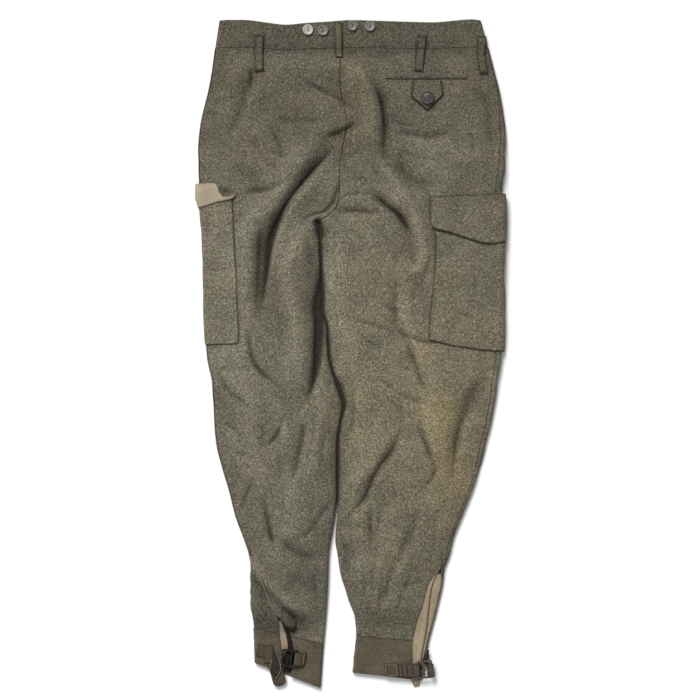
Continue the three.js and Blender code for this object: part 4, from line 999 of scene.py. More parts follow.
class Patch:
    """A piece laid on a panel. place(s, t) gives down and distance round the leg for shares s and t from 0 to
    1, and lift(s, t) how far it stands off."""

    def __init__(self, half, place, thickness, gap, across, tall, lift=None):
        self.half, self.place, self.thickness = half, place, thickness
        self.gap, self.across, self.tall = gap, across, tall
        self.lift = lift or (lambda s, t: 0 * s)

    def middles(self, s, t):
        down, along = self.place(s, t)
        points = ring(self.half, down, along, WOOL)
        normal = normals_of(points, INWARD[self.half])
        out = WOOL / 2 + self.gap + self.thickness / 2 + self.lift(s, t)
        points = points + normal * out[..., None]
        points[..., 2] = np.maximum(points[..., 2], self.thickness / 2 + 0.05)
        return points

    def build(self, name, spacing=2.0, tuck=0.0, dark=1.0, round_edge=0.9):
        s, t = np.meshgrid(even(self.across, spacing), even(self.tall, spacing))
        points = self.middles(s, t)
        normal = normals_of(points, INWARD[self.half])
        return shell(name, points, normal, self.thickness, round_edge, tuck, self.half == "right", dark)

    def seam(self, thread_piece, s, t, **how):
        """Stitches along a line of shares."""
        s, t = np.broadcast_arrays(np.asarray(s, float), np.asarray(t, float))
        ds, dt = HALF_STEP / self.across, HALF_STEP / self.tall
        grid_s = np.stack([s - ds, s, s + ds], axis=1)
        rows = [self.middles(grid_s, np.stack([t + k * dt] * 3, axis=1))[:, 1] for k in (-1, 0, 1)]
        sideways = self.middles(grid_s, np.stack([t] * 3, axis=1))
        ahead = sideways[:, 2] - sideways[:, 0]
        normal = unit(np.cross(ahead, rows[2] - rows[0]) * INWARD[self.half])
        thread_piece.run(rows[1] + normal * (self.thickness / 2 + 0.02), normal, **how)


def outer_at(half, down):
    return edges_of(half, down, WOOL)[0]


def over(half, x, down):
    """Distance round the ring of a place on top at x."""
    return -np.abs(x - outer_at(half, down))


def beneath(half, x, down):
    return np.abs(x - outer_at(half, down))


def table_curve(rows):
    xs, ys = columns(rows)
    return lambda at: np.interp(at, xs, ys)


# Panels
BACK_STEP = 2.5
UNDER_STEP = 7.0


def panel_downs(half, spacing):
    return steps(BAND_SEAM + BAND_GAP / 2, CUFF_SEAM[half] - SEAM_GAP / 2, spacing)


def back_range(half, downs, cloth):
    _, _, width = edges_of(half, downs, cloth)
    start = section(half, 3, downs) + SEAM_GAP / 2
    return width + SEAM_GAP / 2, 2 * width - start


def front_range(half, downs, cloth):
    _, _, width = edges_of(half, downs, cloth)
    return -(section(half, 2, downs) - SEAM_GAP / 2), width - SEAM_GAP / 2


def edge_pattern(count):
    """Columns from 0 to 1, closer together near both ends."""
    near = np.array([0, 0.0012, 0.004, 0.009, 0.016])
    return np.unique(np.concatenate([near, np.linspace(0, 1, count), 1 - near]))


PANEL_FLATS = {
    "back_left": ((0.24, 0.96), 0.175), "back_right": ((0.29, 0.95), 0.22),
    "front_left": ((0.24, 0.96), 0.18), "front_right": ((0.31, 0.95), 0.235),
}

UNDER_SHADE, SHIN_SHADE = 0.6, {"left": 1.2, "right": 0.6}  # painted shade: darker underneath, and more so at the shins

for half in ("left", "right"):
    inward = INWARD[half]
    for side, spacing, count, reach, dark in (("back", BACK_STEP, 98, back_range, 0.12),
                                              ("front", UNDER_STEP, 40, front_range, 0.1)):
        downs = panel_downs(half, spacing)
        points = grid_on(half, downs, share_columns(*reach(half, downs, WOOL), edge_pattern(count)))
        name = f"{side}_{half}"
        panel = shell(f"{name}_panel", points, normals_of(points, inward), WOOL, 0.5, 0, half == "right", dark)
        flat, area = PANEL_FLATS[name]
        if side == "back":
            finish_cloth(panel, wool, name, flat, area, rests_on=[f"front_{half}_panel"])
            continue
        shade = UNDER_SHADE + SHIN_SHADE[half] * smooth(downs, 850, 900)
        shade = np.tile(np.repeat(shade, points.shape[1]), 2)
        finish_cloth(panel, wool, name, flat, area, rests_on=["floor"], shade=shade)


# Waistband
def whole_range(half, downs, cloth):
    _, _, width = edges_of(half, downs, cloth)
    return -width + SEAM_GAP / 2, width - SEAM_GAP / 2


BAND_FLATS = {"left": ((0.41, 0.043), 0.0172), "right": ((0.475, 0.043), 0.0203)}
seams = Thread("seam_stitches")

for half in ("left", "right"):
    inward = INWARD[half]
    downs = steps(WAIST_TOP, BAND_SEAM - BAND_GAP / 2, 2.2)
    low, high = whole_range(half, downs, BAND)
    points = grid_on(half, downs, share_columns(low, high, edge_pattern(150)), BAND)
    normal = normals_of(points, inward)
    band = shell(f"waistband_{half}_cloth", points, normal, BAND, 0.3, 0, half == "right", 0.02)
    finish_cloth(band, wool, f"waistband_{half}", *BAND_FLATS[half], rests_on=[f"front_{half}_panel"])
    for down in (WAIST_TOP + 12.5, BAND_SEAM - 3.2):
        along = np.linspace(float(low[0]) + 4, float(high[0]) - 4, 500)
        seams.run(*line_on(half, down, along, BAND / 2, BAND))
    # beside the centre-back seam
    downs = np.linspace(BAND_SEAM + 6, 300, 160)
    _, _, width = edges_of(half, downs, WOOL)
    seams.run(*line_on(half, downs, -(width - 4.2), WOOL / 2), length=2.8, gap=1.6, width=0.36)


# Ankles
CUFF_FLATS = {"left": ((0.215, 0.062), 0.0127), "right": ((0.215, 0.062), 0.0129)}
GUSSET_FLATS = {"left": ((0.026, 0.075), 0.0012), "right": ((0.028, 0.15), 0.0029)}
GUSSET_ROWS = {"left": (954, 1024), "right": (886, 1034)}
cuff_thread = Thread("cuff_stitches", slot="canvas")

for half in ("left", "right"):
    inward = INWARD[half]
    downs = steps(CUFF_SEAM[half] + SEAM_GAP / 2, HEM[half], 2.2)
    _, _, width = edges_of(half, downs, CANVAS)
    low = -(section(half, 2, downs) - SEAM_GAP / 2)
    high = 2 * width - section(half, 3, downs) - SEAM_GAP / 2
    points = grid_on(half, downs, share_columns(low, high, edge_pattern(90)), CANVAS)
    normal = normals_of(points, inward)
    cuff = shell(f"cuff_{half}_canvas", points, normal, CANVAS, 0.5, 0, half == "right", 0.2)
    finish_cloth(cuff, canvas, f"cuff_{half}", *CUFF_FLATS[half], rests_on=["floor"])
    for down in (CUFF_SEAM[half] + 2.4, CUFF_SEAM[half] + 8, HEM[half] - 4):
        _, _, width = edges_of(half, np.array([down]), CANVAS)
        start = -(float(section(half, 2, down)) - 3)
        end = 2 * float(width[0]) - float(section(half, 3, down)) - 3
        line = line_on(half, down, np.linspace(start, end, 300), CANVAS / 2, CANVAS)
        cuff_thread.run(*line, length=2.0, gap=0.8)

    downs = steps(*GUSSET_ROWS[half], 2.0)
    front, back = section(half, 2, downs) + 0.25, section(half, 3, downs) - 0.25
    back = np.maximum(back, front + 0.6)
    share = edge_pattern(28)
    along = share_columns(-back, -front, share)
    points = grid_on(half, downs, along)
    opened = np.clip((back - front) / 16, 0, 1)[:, None]
    if half == "right":
        fall = np.clip((downs - downs[0]) / 130, 0, 1)[:, None]
        crease = 0.36 + 0.5 * smooth(fall, 0.1, 0.85)
        valley = 3.0 * np.exp(-(((share - crease) / 0.055) ** 2))
        valley = valley - 1.4 * np.exp(-(((share - crease + 0.2) / 0.15) ** 2))
        # painted shade along the gusset's fold and at its far side
        shade = 5.5 * np.exp(-(((share - crease) / 0.035) ** 2)) + 0.8 * smooth(share, 0.75, 1)
    else:
        valley = 2.6 * (1 - smooth(share, 0.3, 0.5)) + 0.5 * np.cos(share * 40) * smooth(share, 0.45, 0.6)
        # painted shade on the gusset's dark side, with a narrow line left unshaded
        lit = 0.42 + 0.53 * smooth(downs, 984, 1012)[:, None]
        shade = 12 * (1 - smooth(share - lit, -0.05, 0.05)) - 7 * np.exp(-(((share - 0.12) / 0.03) ** 2))
    valley = valley * opened
    points = points - normals_of(points, inward) * (0.5 + valley)[..., None]
    normal = normals_of(points, inward)
    gusset = shell(f"gusset_{half}_lining", points, normal, LINING, 0.4, 0, half == "right", 0.4)
    finish_cloth(gusset, cotton, f"gusset_{half}", *GUSSET_FLATS[half], rests_on=[f"front_{half}_panel"],
                 shade=np.tile((shade * np.ones_like(valley)).reshape(-1), 2))


# Cargo pockets
POCKET_GAP = 0.3
POCKET_INSETS = (2.2, 7.5)  # how far the rows of stitches lie inside the edges
pocket_thread = Thread("pocket_stitches")


def rect_seam(patch, piece, inset, sides="ltbr", **how):
    """Stitches that follow a patch's edges, `inset` inside them."""
    ds, dt = inset / patch.across, inset / patch.tall
    run = np.linspace(0, 1, 160)
    s_run, t_run = ds + run * (1 - 2 * ds), dt + run * (1 - 2 * dt)
    if "l" in sides:
        patch.seam(piece, ds, t_run, **how)
    if "r" in sides:
        patch.seam(piece, 1 - ds, t_run, **how)
    if "t" in sides:
        patch.seam(piece, s_run, dt, **how)
    if "b" in sides:
        patch.seam(piece, s_run, 1 - dt, **how)


right_inner = table_curve([(283, 124.5), (324, 128), (350, 133), (410, 131), (465, 125), (512, 121.5)])
right_bottom = table_curve([(0, 512), (0.2, 521), (0.45, 528), (0.68, 531), (1, 531)])


def place_pocket_right(s, t):
    down = 284 + (right_bottom(s) - 284) * t
    start = over("right", right_inner(down), down)
    return down, start + (beneath("right", POCKET_UNDER["right"], down) - start) * s


def bulge(height, reach=0.16):
    def lift(s, t):
        edge = np.minimum.reduce([s, 1 - s, t, 1 - t])
        return height * smooth(edge, 0, reach) * np.where(s < 0.72, 1, 0)
    return lift


pocket_right = Patch("right", place_pocket_right, POCKET, POCKET_GAP, 190, 243, bulge(0.9))
finish_cloth(pocket_right.build("cargo_pocket_right_cloth", 2.0, 0.5, 1.05), wool, "cargo_pocket_right",
             (0.195, 0.247), 0.0465, rests_on=["back_right_panel"])
for inset in POCKET_INSETS:
    rect_seam(pocket_right, pocket_thread, inset, "lb")

left_inner = table_curve([(286, -190.5), (330, -188), (400, -184), (460, -181.5), (505, -179.5), (519, -181)])
left_bottom = table_curve([(0, 517), (0.06, 519), (0.3, 520), (1, 519)])
left_top = table_curve([(0, 287), (0.12, 286), (0.3, 288), (1, 290)])


def place_pocket_left(s, t):
    down = left_top(s) + (left_bottom(s) - left_top(s)) * t
    start = over("left", left_inner(down), down)
    return down, start + (beneath("left", POCKET_UNDER["left"], down) - start) * s


pocket_left = Patch("left", place_pocket_left, POCKET, POCKET_GAP, 190, 232,
                    lambda s, t: 0.9 * smooth(np.minimum(s, 1 - t), 0, 0.14) * np.where(s < 0.3, 1, 0))
finish_cloth(pocket_left.build("cargo_pocket_left_cloth", 2.0, 0.5, 0.95), wool, "cargo_pocket_left",
             (0.195, 0.235), 0.0445, rests_on=["back_left_panel"], shade=-1.7)
for inset in POCKET_INSETS:
    rect_seam(pocket_left, pocket_thread, inset, "lb")

flap_top = table_curve([(0, 283), (0.5, 280), (1, 276)])
flap_bottom = table_curve([(0, 325), (0.02, 332), (0.05, 336), (0.2, 342), (0.38, 352), (0.5, 358), (0.62, 360),
                           (0.75, 354), (1, 350)])


def place_flap_right(s, t):
    down = flap_top(s) + (flap_bottom(s) - flap_top(s)) * t
    start = over("right", 124, down)
    return down, start + (beneath("right", 192, down) - start) * s


flap_right = Patch("right", place_flap_right, FLAP, POCKET_GAP + POCKET + LAY_GAP, 182, 72,
                   lambda s, t: 1.6 * smooth(t, 0.3, 1) * (1 - smooth(s, 0.5, 0.66)))
finish_cloth(flap_right.build("cargo_flap_right_cloth", 1.8, 0.4, 1.2), wool, "cargo_flap_right",
             (0.19, 0.085), 0.0118, rests_on=["cargo_pocket_right_cloth"])
rect_seam(flap_right, pocket_thread, 5.5, "ltb")
rect_seam(flap_right, pocket_thread, 2.0, "t")

lining_top = table_curve([(-262, 263), (-222, 261), (-215, 263), (-211, 276), (-205, 285), (-192, 283),
                          (-187, 277)])
lining_bottom = table_curve([(-262, 306), (-250, 304), (-212, 292), (-196, 289), (-190, 287), (-187, 283)])


def place_flap_left(s, t):
    x = -187 - 75 * s
    down = lining_top(x) + (lining_bottom(x) - lining_top(x)) * t
    from_edge = x - outer_at("left", down)
    return down, np.where(from_edge > 0, -np.abs(from_edge), np.abs(from_edge) * 0.8)


flap_left = Patch("left", place_flap_left, FLAP, POCKET_GAP + POCKET + LAY_GAP, 74, 38,
                  lambda s, t: 2.4 * np.sin(math.pi * np.clip(t, 0, 1)) * smooth(s, 0, 0.4) + 1.4 * (1 - t))
finish_cloth(flap_left.build("cargo_flap_left_lining", 1.4, 0.0), pale_cotton, "cargo_flap_left",
             (0.075, 0.045), 0.0024, rests_on=["cargo_pocket_left_cloth"])
lining_thread = Thread("flap_stitches", rust_thread, "cotton")
flap_left.seam(lining_thread, np.linspace(0.5, 0.97, 80), 0.26, width=0.9)


# Seat pocket
def flat_patch(half, corners_top, corners_bottom, thickness, gap, lift=None):
    """A patch between two lines of [x, down] that both run from its left to its right."""
    (xt, dt), (xb, db) = columns(corners_top), columns(corners_bottom)

    def place(s, t):
        def at(xs):
            return np.interp(s, np.linspace(0, 1, len(xs)), xs)

        x = at(xt) * (1 - t) + at(xb) * t
        down = at(dt) * (1 - t) + at(db) * t
        return down, over(half, x, down)

    return Patch(half, place, thickness, gap, max(np.ptp(xt), np.ptp(xb)), np.max(db) - np.min(dt), lift)


def slim_patch(patch, spacing):
    s, t = np.meshgrid(even(patch.across, spacing), even(patch.tall, spacing))
    points = patch.middles(s, t)
    normal = normals_of(points, 1)
    normal *= np.sign(normal[..., 2:])
    return points, normal


seat_thread = Thread("seat_stitches")
tab = flat_patch("right", [(98.5, 96.2), (120, 96.2), (142, 96.2)], [(95, 124), (120, 146), (145.5, 121)],
                 WOOL, 0.3, lambda s, t: 0.8 * smooth(t, 0.2, 1))
points, normal = slim_patch(tab, 1.2)
finish_cloth(shell("seat_pocket_tab_cloth", points, normal, WOOL, 1.0, 0.5, True, 1.5), wool, "seat_pocket_tab",
             (0.052, 0.051), 0.0021, rests_on=["back_right_panel"])
welt = flat_patch("right", [(53, 92.4), (118, 91.8), (184, 92.4)], [(53, 96), (118, 95.8), (184, 96)], 1.2, 0.1,
                  lambda s, t: 0.5 * np.sin(math.pi * t))
points, normal = slim_patch(welt, 1.0)
finish_cloth(shell("seat_pocket_welt_cloth", points, normal, 1.2, 0.8, 0.2, True), wool, "seat_pocket_welt",
             (0.131, 0.01), 0.00048, rests_on=["back_right_panel"])


def flat_line(half, xs, downs, out):
    xs, downs = np.asarray(xs, float), np.asarray(downs, float)
    return line_on(half, downs, over(half, xs, downs), out)


def sewn(piece, half, corners, out, **how):
    """Stitches along straight pieces between [x, down] corners on top of a panel."""
    for (x0, d0), (x1, d1) in zip(corners[:-1], corners[1:]):
        count = max(int(math.hypot(x1 - x0, d1 - d0)), 3)
        piece.run(*flat_line(half, np.linspace(x0, x1, count), np.linspace(d0, d1, count), out), **how)


TOP = WOOL / 2
sewn(seat_thread, "right", [(50, 89.5), (187, 89.5), (187, 99), (147, 99)], TOP)
sewn(seat_thread, "right", [(50, 89.5), (50, 99), (94, 99)], TOP)
on_tab = WOOL * 1.5 + 0.4
sewn(seat_thread, "right", [(101, 99.5), (98.5, 122.5), (120, 142), (141.5, 120), (139.5, 99.5)], on_tab + 0.4)


# What rests on the cloth
def tree_of(*names):
    points, faces = [], []
    for name in names:
        mesh = bpy.data.objects[name].data
        base = len(points)
        points += [v.co.copy() for v in mesh.vertices]
        faces += [[base + i for i in polygon.vertices] for polygon in mesh.polygons]
    return BVHTree.FromPolygons(points, faces)


def top_near(tree, x, down, reach):
    """The highest place of what `tree` holds, near a place seen from above."""
    top = 0.0
    for dx in (-reach, 0, reach):
        for dy in (-reach, 0, reach):
            above = Vector(((x + dx) / 1000, (LENGTH / 2 - down + dy) / 1000, 0.1))
            hit = tree.ray_cast(above, Vector((0, 0, -1)))
            if hit[0] is not None:
                top = max(top, hit[0].z * 1000)
    return top


def measured(line):
    """How far along a line each of its points is."""
    return np.concatenate([[0], np.cumsum(np.linalg.norm(np.diff(line, axis=0), axis=1))])


def strip(name, path, width, thickness, tree, rise=None, least=None, gap=0.15, taper=None):
    """A band along a path of [x, down] places that lies on whatever `tree` holds. rise, least and taper give
    its extra height, its least height and its share of the width along the path."""
    line = spline(path, 12)
    distance = measured(line)
    at = steps(0, distance[-1], 2.0)
    x, down = np.interp(at, distance, line[:, 0]), np.interp(at, distance, line[:, 1])
    way = np.stack([np.gradient(x), np.gradient(down)], -1)
    way /= np.linalg.norm(way, axis=1, keepdims=True)
    across = steps(-width / 2, width / 2, 2.0)
    share = at / distance[-1]
    narrow = np.ones_like(share) if taper is None else taper(share)
    gx = x[:, None] - way[:, 1:2] * across[None, :] * narrow[:, None]
    gd = down[:, None] + way[:, :1] * across[None, :] * narrow[:, None]
    height = np.array([[top_near(tree, px, pd, 1.2) for px, pd in zip(rx, rd)] for rx, rd in zip(gx, gd)])
    if least:
        height = np.maximum(height, least(share)[:, None])
    kernel = np.array([1, 2, 3, 2, 1]) / 9
    padded = np.pad(height, ((2, 2), (0, 0)), mode="edge")
    softened = sum(k * padded[i:i + height.shape[0]] for i, k in enumerate(kernel))
    height = np.maximum(softened, height)
    if rise:
        height = height + rise(share)[:, None]
    points = np.stack([gx, LENGTH / 2 - gd, height + gap + thickness / 2], -1)
    normal = normals_of(points, 1)
    flip = normal[..., 2].mean() < 0
    if flip:
        normal = -normal
    return shell(name, points, normal, thickness, 0.8, 0, flip), points, normal


waist_tree = tree_of("waistband_left_cloth", "waistband_right_cloth", "back_left_panel", "back_right_panel")
loop_thread = Thread("loop_stitches")
tack_thread = Thread("bar_tacks", pale_cotton, "cotton")
for name, (path, width) in LOOP_PATHS.items():
    cloth = brown if name == "belt_loop_centre" else wool
    loop, points, normal = strip(f"{name}_cloth", path, width, 1.8, waist_tree,
                                 lambda share: 1.6 * np.sin(math.pi * share) ** 0.7)
    finish_cloth(loop, cloth, name, (width / 1000, 0.06), rests_on=["waistband_left_cloth"], slot="wool")
    for column in (4, -5):
        loop_thread.run(points[3:-3, column] + normal[3:-3, column] * 0.95, normal[3:-3, column])
    for row in (3, -4):
        bar = tack_thread if name == "belt_loop_centre" and row == -4 else loop_thread
        for shift in (-0.8, -0.3, 0.3, 0.8):
            line = points[row, 2:-2] + normal[row, 2:-2] * 0.98 + np.array([0, shift, 0])
            bar.run(line, normal[row, 2:-2], length=width * 0.4, gap=0.1, width=0.5)


def revolved(name, profile, place, segments=48):
    """A closed form from a profile of [radius, height] turned about the upright axis at a place."""
    points, faces = [], []
    for i in range(segments):
        angle = 2 * math.pi * i / segments
        for r, z in profile:
            points.append((place[0] + r * math.cos(angle), place[1] + r * math.sin(angle), place[2] + z))
    rows = len(profile)
    for i in range(segments):
        a, b = i * rows, ((i + 1) % segments) * rows
        for k in range(rows - 1):
            faces.append((a + k, b + k, b + k + 1, a + k + 1))
    base = len(points)
    points += [(place[0], place[1], place[2] + profile[0][1]), (place[0], place[1], place[2] + profile[-1][1])]
    for i in range(segments):
        a, b = i * rows, ((i + 1) % segments) * rows
        faces.append((base, b, a))
        faces.append((base + 1, a + rows - 1, b + rows - 1))
    mesh = bpy.data.meshes.new(name)
    mesh.from_pydata((np.array(points) / 1000).tolist(), [], faces)
    obj = bpy.data.objects.new(name, mesh)
    scene.collection.objects.link(obj)
    return obj


def drill(obj, holes, radius, place, height):
    """Cuts round holes down through a piece."""
    for hx, hy in holes:
        middle = ((place[0] + hx) / 1000, (place[1] + hy) / 1000, place[2] / 1000)
        bpy.ops.mesh.primitive_cylinder_add(vertices=20, radius=radius / 1000, depth=height / 1000,
                                            location=middle)
        cutter = bpy.context.object
        modifier = obj.modifiers.new("hole", "BOOLEAN")
        modifier.object = cutter
        modifier.solver = "EXACT"
        bpy.context.view_layer.objects.active = obj
        bpy.ops.object.modifier_apply(modifier="hole")
        bpy.data.objects.remove(cutter)


def soften(obj, angle=0.6):
    bpy.context.view_layer.objects.active = obj
    obj.select_set(True)
    bpy.ops.object.shade_smooth_by_angle(angle=angle)
    obj.select_set(False)


button_thread = Thread("button_threads")
BUTTONS = [
    ("brace_button_1", -70.4, 16, 8.5, 3.0, 2, (150, 148, 142), (184, 182, 176), "pale_button"),
    ("brace_button_2", -46.4, 17, 8.5, 3.0, 2, (92, 93, 86), (124, 124, 116), "grey_button"),
    ("brace_button_3", 0.5, 9.5, 8.2, 3.0, 2, (88, 89, 82), (120, 120, 112), "grey_button"),
    ("brace_button_4", 28.8, 10, 8.5, 3.0, 2, (94, 94, 88), (128, 128, 120), "grey_button"),
    ("seat_pocket_button", 120, 126, 11, 4.2, 0, (46, 45, 41), (78, 76, 70), "grey_button"),
]
tab_tree = tree_of("seat_pocket_tab_cloth")
for name, x, down, radius, height, eyes, dark, light, slot in BUTTONS:
    tree = tab_tree if name.startswith("seat") else waist_tree
    base = top_near(tree, x, down, radius * 0.6) + 0.25
    place = (x, LENGTH / 2 - down, base)
    profile = [(0.02, 0), (radius * 0.72, 0), (radius * 0.93, height * 0.2), (radius, height * 0.5),
               (radius * 0.985, height * 0.78), (radius * 0.93, height * 0.95), (radius * 0.86, height),
               (radius * 0.78, height * 0.93), (radius * 0.7, height * 0.72), (radius * 0.6, height * 0.6),
               (radius * 0.36, height * 0.55), (0.02, height * 0.55)]
    if not eyes:
        profile = profile[:7] + [(radius * 0.76, height * 0.7), (radius * 0.66, height * 0.66),
                                 (radius * 0.5, height * 0.84), (radius * 0.25, height), (0.02, height * 1.02)]
    button = revolved(f"{name}_moulded", profile, place)
    gap = radius * 0.24
    angles = [math.pi * (2 * k + 1) / eyes for k in range(eyes)]
    holes = [(gap * math.cos(a), gap * math.sin(a)) for a in angles]
    drill(button, holes, radius * 0.12, place, 4 * height)
    soften(button)
    dress(button, button_material(f"{name}_shade", dark, light))
    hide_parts(name)
    if eyes:
        a, b = [np.array([place[0] + hx, place[1] + hy, base + height * 0.5]) for hx, hy in holes]
        side = np.array([-(b - a)[1], (b - a)[0], 0])
        side /= np.linalg.norm(side)
        for shift in (-0.35, 0.35):
            button_thread.one(a + side * shift, b + side * shift, np.array([0, 0, 1.0]), 0.75, 0.5)


# Straps and buckles
def ribbon(path, down, width, lean):
    """A strap seen from its edge as [x, height] points, with a straight run across it."""
    line = spline(path, 6)
    distance = measured(line)
    at = steps(0, distance[-1], 0.9, (0.2, 0.6))
    x, z = np.interp(at, distance, line[:, 0]), np.interp(at, distance, line[:, 1])
    across = steps(-width / 2, width / 2, 2.0, (0.2, 0.6))
    gx = x[:, None] - lean * across[None, :]
    gy = LENGTH / 2 - down + across[None, :] + 0 * gx
    points = np.stack([gx, gy, z[:, None] + 0 * gx], -1)
    normal = -normals_of(points, 1)
    return points, normal


def closed_volume(obj):
    shape = bmesh.new()
    shape.from_mesh(obj.data)
    volume = shape.calc_volume(signed=True)
    shape.free()
    return volume


def build_ribbon(node, path, down, lean, long, ripple=None):
    points, normal = ribbon(path, down, STRAP_WIDTH, lean)
    if ripple:
        points = points + normal * ripple(points)[..., None]
    obj = shell(f"{node}_web", points, normal, WEBBING, 0.6, 0, True)
    if closed_volume(obj) < 0:
        obj.data.flip_normals()
    finish_cloth(obj, webbing, node, (STRAP_WIDTH / 1000, long), rests_on=["cuff_right_canvas"],
                 slot="webbing")


def arc_round(x, z, radius, way):
    angles = np.linspace(-math.pi / 2, math.pi / 2, 7)
    return [(x + way * radius * math.cos(a), z + radius * math.sin(a)) for a in angles]


def loop_round(x, z, radius, patch, base):
    way = math.copysign(1, x - patch)
    back = [(x - way * 6, z + radius - 0.4), ((x + 2 * patch) / 3, base + WEBBING + LAY_GAP + 0.8),
            (patch + way * 3, base + WEBBING + LAY_GAP)]
    return [(patch, base), ((patch + x) / 2, base), (x - way * 4, base), *arc_round(x, z, radius, way), *back]


def bevelled(node, name, metal, width=0.0006):
    """The CAD buckle's own shape with its stamped edges rounded."""
    source = bpy.data.objects[node]
    obj = bpy.data.objects.new(name, source.data.copy())
    scene.collection.objects.link(obj)
    obj.data.materials.clear()
    obj.data.materials.append(metal)
    shape = bmesh.new()
    shape.from_mesh(obj.data)
    bmesh.ops.remove_doubles(shape, verts=shape.verts, dist=1e-6)
    bmesh.ops.dissolve_limit(shape, angle_limit=0.02, verts=shape.verts, edges=shape.edges)
    shape.to_mesh(obj.data)
    shape.free()
    modifier = obj.modifiers.new("edges", "BEVEL")
    modifier.width = width
    modifier.segments = 3
    modifier.limit_method = "ANGLE"
    modifier.angle_limit = 0.6
    bpy.context.view_layer.objects.active = obj
    bpy.ops.object.modifier_apply(modifier="edges")
    soften(obj, 0.9)
    return obj


BAR, BUCKLE_WIDTH, STRAP_WIDTH = 3, 26, 21
RADIUS = BAR / 2 + 0.5 + WEBBING / 2
STRAP_BASE = 5.95 + WEBBING / 2

right_buckle = bevelled("ankle_buckle_right", "ankle_buckle_right_frame", steel)
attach(right_buckle, BODY)
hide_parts("ankle_buckle_right")
left_buckle = bevelled("ankle_buckle_left", "ankle_buckle_left_frame", dark_steel)
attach(left_buckle, "left_buckle")
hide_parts("ankle_buckle_left")


def right_ridges(points):
    """The rows of ridges that the doubled strap has beside its patch."""
    x = points[..., 0]
    above = smooth(points[..., 2], STRAP_BASE + 0.8, STRAP_BASE + 1.6)
    within_row = smooth(x, 72, 75) * (1 - smooth(x, 93, 96))
    return above * 0.5 * (1 + np.cos((x - 76) * 2 * math.pi / 6.2)) * within_row


z = STRAP_BASE + RADIUS
build_ribbon("ankle_strap_back_right", loop_round(105, z, RADIUS, 52, STRAP_BASE), 1040, 0.12, 0.112,
             right_ridges)
far = 105 + BUCKLE_WIDTH - BAR
build_ribbon("ankle_strap_front_right",
             [(120, 3), (123, 3.4), *arc_round(far, z, RADIUS, 1), (far - 6, STRAP_BASE + 2 * RADIUS)],
             1040, 0.12, 0.024)
on_cuff = tree_of("cuff_right_canvas", "gusset_right_lining", "ankle_strap_back_right_web")
behind, _, _ = strip("ankle_strap_right_behind", [(122.5, 1008), (119.5, 1018), (116, 1030)], 11, WEBBING,
                     on_cuff, least=lambda share: 5 + 0 * share,
                     taper=lambda share: 0.25 + 0.75 * smooth(share, 0, 0.8))
# the part of the strap that passes behind is in painted shade
trim(behind, dark_web)
tip, _, _ = strip("gusset_right_end", [(100, 1051), (102, 1058), (104, 1067)], 15, LINING,
                  tree_of("cuff_right_canvas", "gusset_right_lining"),
                  least=lambda share: 3 - 2 * share, taper=lambda share: 1 - 0.45 * share, gap=0.0)
trim(tip, cotton)
box = Thread("patch_stitches", pale_thread, "webbing")
web_tree = tree_of("ankle_strap_back_right_web")
UPWARDS = np.tile([0, 0, 1.0], (20, 1))


def on_web(xs, downs, above=0.1):
    """Points on top of the right strap."""
    tops = [top_near(web_tree, x, down, 0.4) + above for x, down in zip(xs, downs)]
    return np.stack([xs, LENGTH / 2 - downs, tops], -1)


corners = [(54, 1031.5), (72, 1031.5), (72, 1048.5), (54, 1048.5), (54, 1031.5)]
for (xa, da), (xb, db) in zip(corners[:-1], corners[1:]):
    run = np.linspace(0, 1, 20)
    dd = da + (db - da) * run
    xx = xa + (xb - xa) * run + 0.12 * (dd - 1040)
    box.run(on_web(xx, dd), UPWARDS, length=2.3, gap=0.35, width=1.2)
# Dark bars on the right strap's ridges: painted shade
ribs = Thread("strap_ribs", dark_web, "webbing")
for x in (73.6, 80, 88, 97):
    dd = np.linspace(1030.5, 1049.5, 20)
    ribs.run(on_web(x + 0.12 * (dd - 1040), dd), UPWARDS, length=17, gap=0.1, width=1.7)
ribs.finish()
build_ribbon("ankle_strap_back_left", loop_round(-88, z, RADIUS, -73, STRAP_BASE), 1022, -0.1, 0.037)
web_tree = tree_of("ankle_strap_back_left_web")
dd = np.linspace(1013, 1031, 20)
box.run(on_web(-77 - 0.12 * (dd - 1022), dd), UPWARDS, length=2.4, gap=0.1, width=1.3)
box.finish()

left_cuff_tree = tree_of("cuff_left_canvas", "gusset_left_lining", "back_left_panel", "front_left_panel")


def round_tail(share, start=0.9):
    return np.sqrt(np.clip(1 - (np.clip(share - start, 0, 1) / (1 - start)) ** 2, 0.02, 1))


loose, _, _ = strip(
    "ankle_strap_front_left_web", [(-152, 1007), (-137, 1011), (-128, 1020), (-122, 1038), (-114, 1066)],
    STRAP_WIDTH, WEBBING, left_cuff_tree, least=lambda share: 5.6 - 2 * smooth(share, 0.9, 1), taper=round_tail)
finish_cloth(loose, webbing, "ankle_strap_front_left", (STRAP_WIDTH / 1000, 0.068),
             rests_on=["cuff_left_canvas"], slot="webbing")
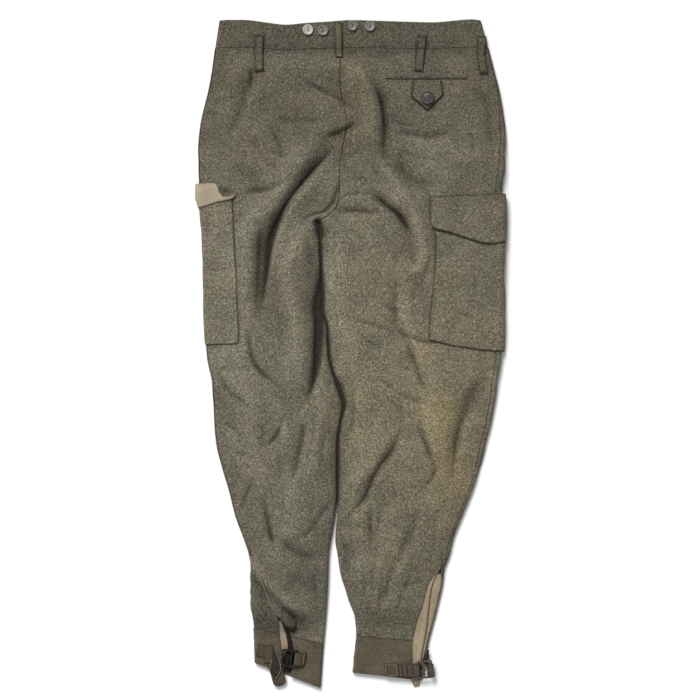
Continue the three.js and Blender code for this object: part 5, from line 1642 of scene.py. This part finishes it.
# The strap is turned over on itself: its inner face in painted shade with a pale edge, and the end of the turn
turned, points, normal = strip(
    "ankle_strap_front_left_turn", [(-123, 1008), (-122, 1022), (-122.5, 1036), (-124.5, 1054)], 17, 1.1,
    tree_of("ankle_strap_front_left_web", "cuff_left_canvas"),
    rise=lambda share: 1.2 * np.sin(math.pi * share),
    taper=lambda share: 0.1 + 0.9 * np.sin(math.pi * share ** 1.5) ** 0.8)
trim(turned, dark_web)
selvedge = Thread("strap_selvedge", pale_thread, "webbing")
for column, start in ((0, 0), (-1, points.shape[0] // 3)):
    up = normal[start:, column]
    selvedge.run(points[start:, column] + up * 0.5, up, length=5, gap=-0.5, width=1.0)
selvedge.finish()
gathered, _, _ = strip(
    "slit_gathers_left", [(-112, 938), (-106, 950), (-99, 964), (-94, 976)], 19, WOOL,
    tree_of("back_left_panel", "gusset_left_lining"), rise=lambda share: 3.4 * smooth(share, 0.1, 0.6),
    taper=lambda share: 0.1 + 0.9 * np.sin(math.pi * share ** 1.4) ** 0.7)
# the gathers carry extra painted shade
trim(gathered, wool, 1.6)
slit_edge, _, _ = strip(
    "slit_binding_left", [(-161.8, 858), (-157.5, 870), (-148, 883), (-141, 904), (-130, 933), (-119, 954)],
    2.4, 0.9, tree_of("back_left_panel", "front_left_panel", "gusset_left_lining"), gap=0.1)
dress(slit_edge, cotton)

keeper_tree = tree_of("cuff_left_canvas", "ankle_strap_front_left_web")
keeper, _, _ = strip("ankle_keeper_left_web", [(-134, 1000), (-133.5, 1014), (-133, 1029)], 15, 1.2,
                     keeper_tree)
finish_cloth(keeper, webbing, "ankle_keeper_left", (0.016, 0.03), rests_on=["ankle_strap_front_left_web"],
             slot="webbing")

for piece in (seams, cuff_thread, pocket_thread, lining_thread, seat_thread, loop_thread, tack_thread,
              button_thread):
    piece.finish()


# Floor, light and camera
FLOOR = 3000
floor = mesh_object("floor", [(-FLOOR, -FLOOR, 0), (FLOOR, -FLOOR, 0), (FLOOR, FLOOR, 0), (-FLOOR, FLOOR, 0)],
                    [(0, 1, 2, 3)])
floor.location.z = -0.0004  # some stitches lie 0.2 mm below the garment's lowest cloth
paper = Nodes("paper", 0.9, specular=0.1)
shade = paper.mix(paper.noise(paper.place(), 3, 2), (0.94, 0.94, 0.94), (0.96, 0.96, 0.96))
floor.data.materials.append(paper.done(shade))

world = bpy.data.worlds.new("studio")
scene.world = world
world.use_nodes = True
world.node_tree.nodes["Background"].inputs["Color"].default_value = (1, 1, 1, 1)
world.node_tree.nodes["Background"].inputs["Strength"].default_value = 0.34


def soft_sun(name, azimuth, elevation, strength, softness):
    """Even light from a large, far source; azimuth is counted from the right, seen from above."""
    data = bpy.data.lights.new(name, "SUN")
    data.energy = strength
    data.angle = softness
    lamp = bpy.data.objects.new(name, data)
    az, el = math.radians(azimuth), math.radians(elevation)
    source = Vector((math.cos(az) * math.cos(el), math.sin(az) * math.cos(el), math.sin(el)))
    lamp.location = source * 3
    lamp.rotation_euler = (-source).to_track_quat("-Z", "Y").to_euler()
    scene.collection.objects.link(lamp)


soft_sun("key", 112, 38, 3.6, 0.45)
soft_sun("fill", 200, 50, 0.5, 0.8)
scene.view_settings.view_transform = "Standard"

CAMERA_HEIGHT = 3.0
FRAME_WIDTH = 1.12  # what the picture's 700 pixels take in at the garment's height
CENTRE = (-0.0032, 0.0064)
data = bpy.data.cameras.new("camera")
data.sensor_width = 36
data.lens = 36 * CAMERA_HEIGHT / FRAME_WIDTH
camera = bpy.data.objects.new("camera", data)
camera.location = (*CENTRE, CAMERA_HEIGHT + 0.006)
scene.collection.objects.link(camera)
scene.camera = camera
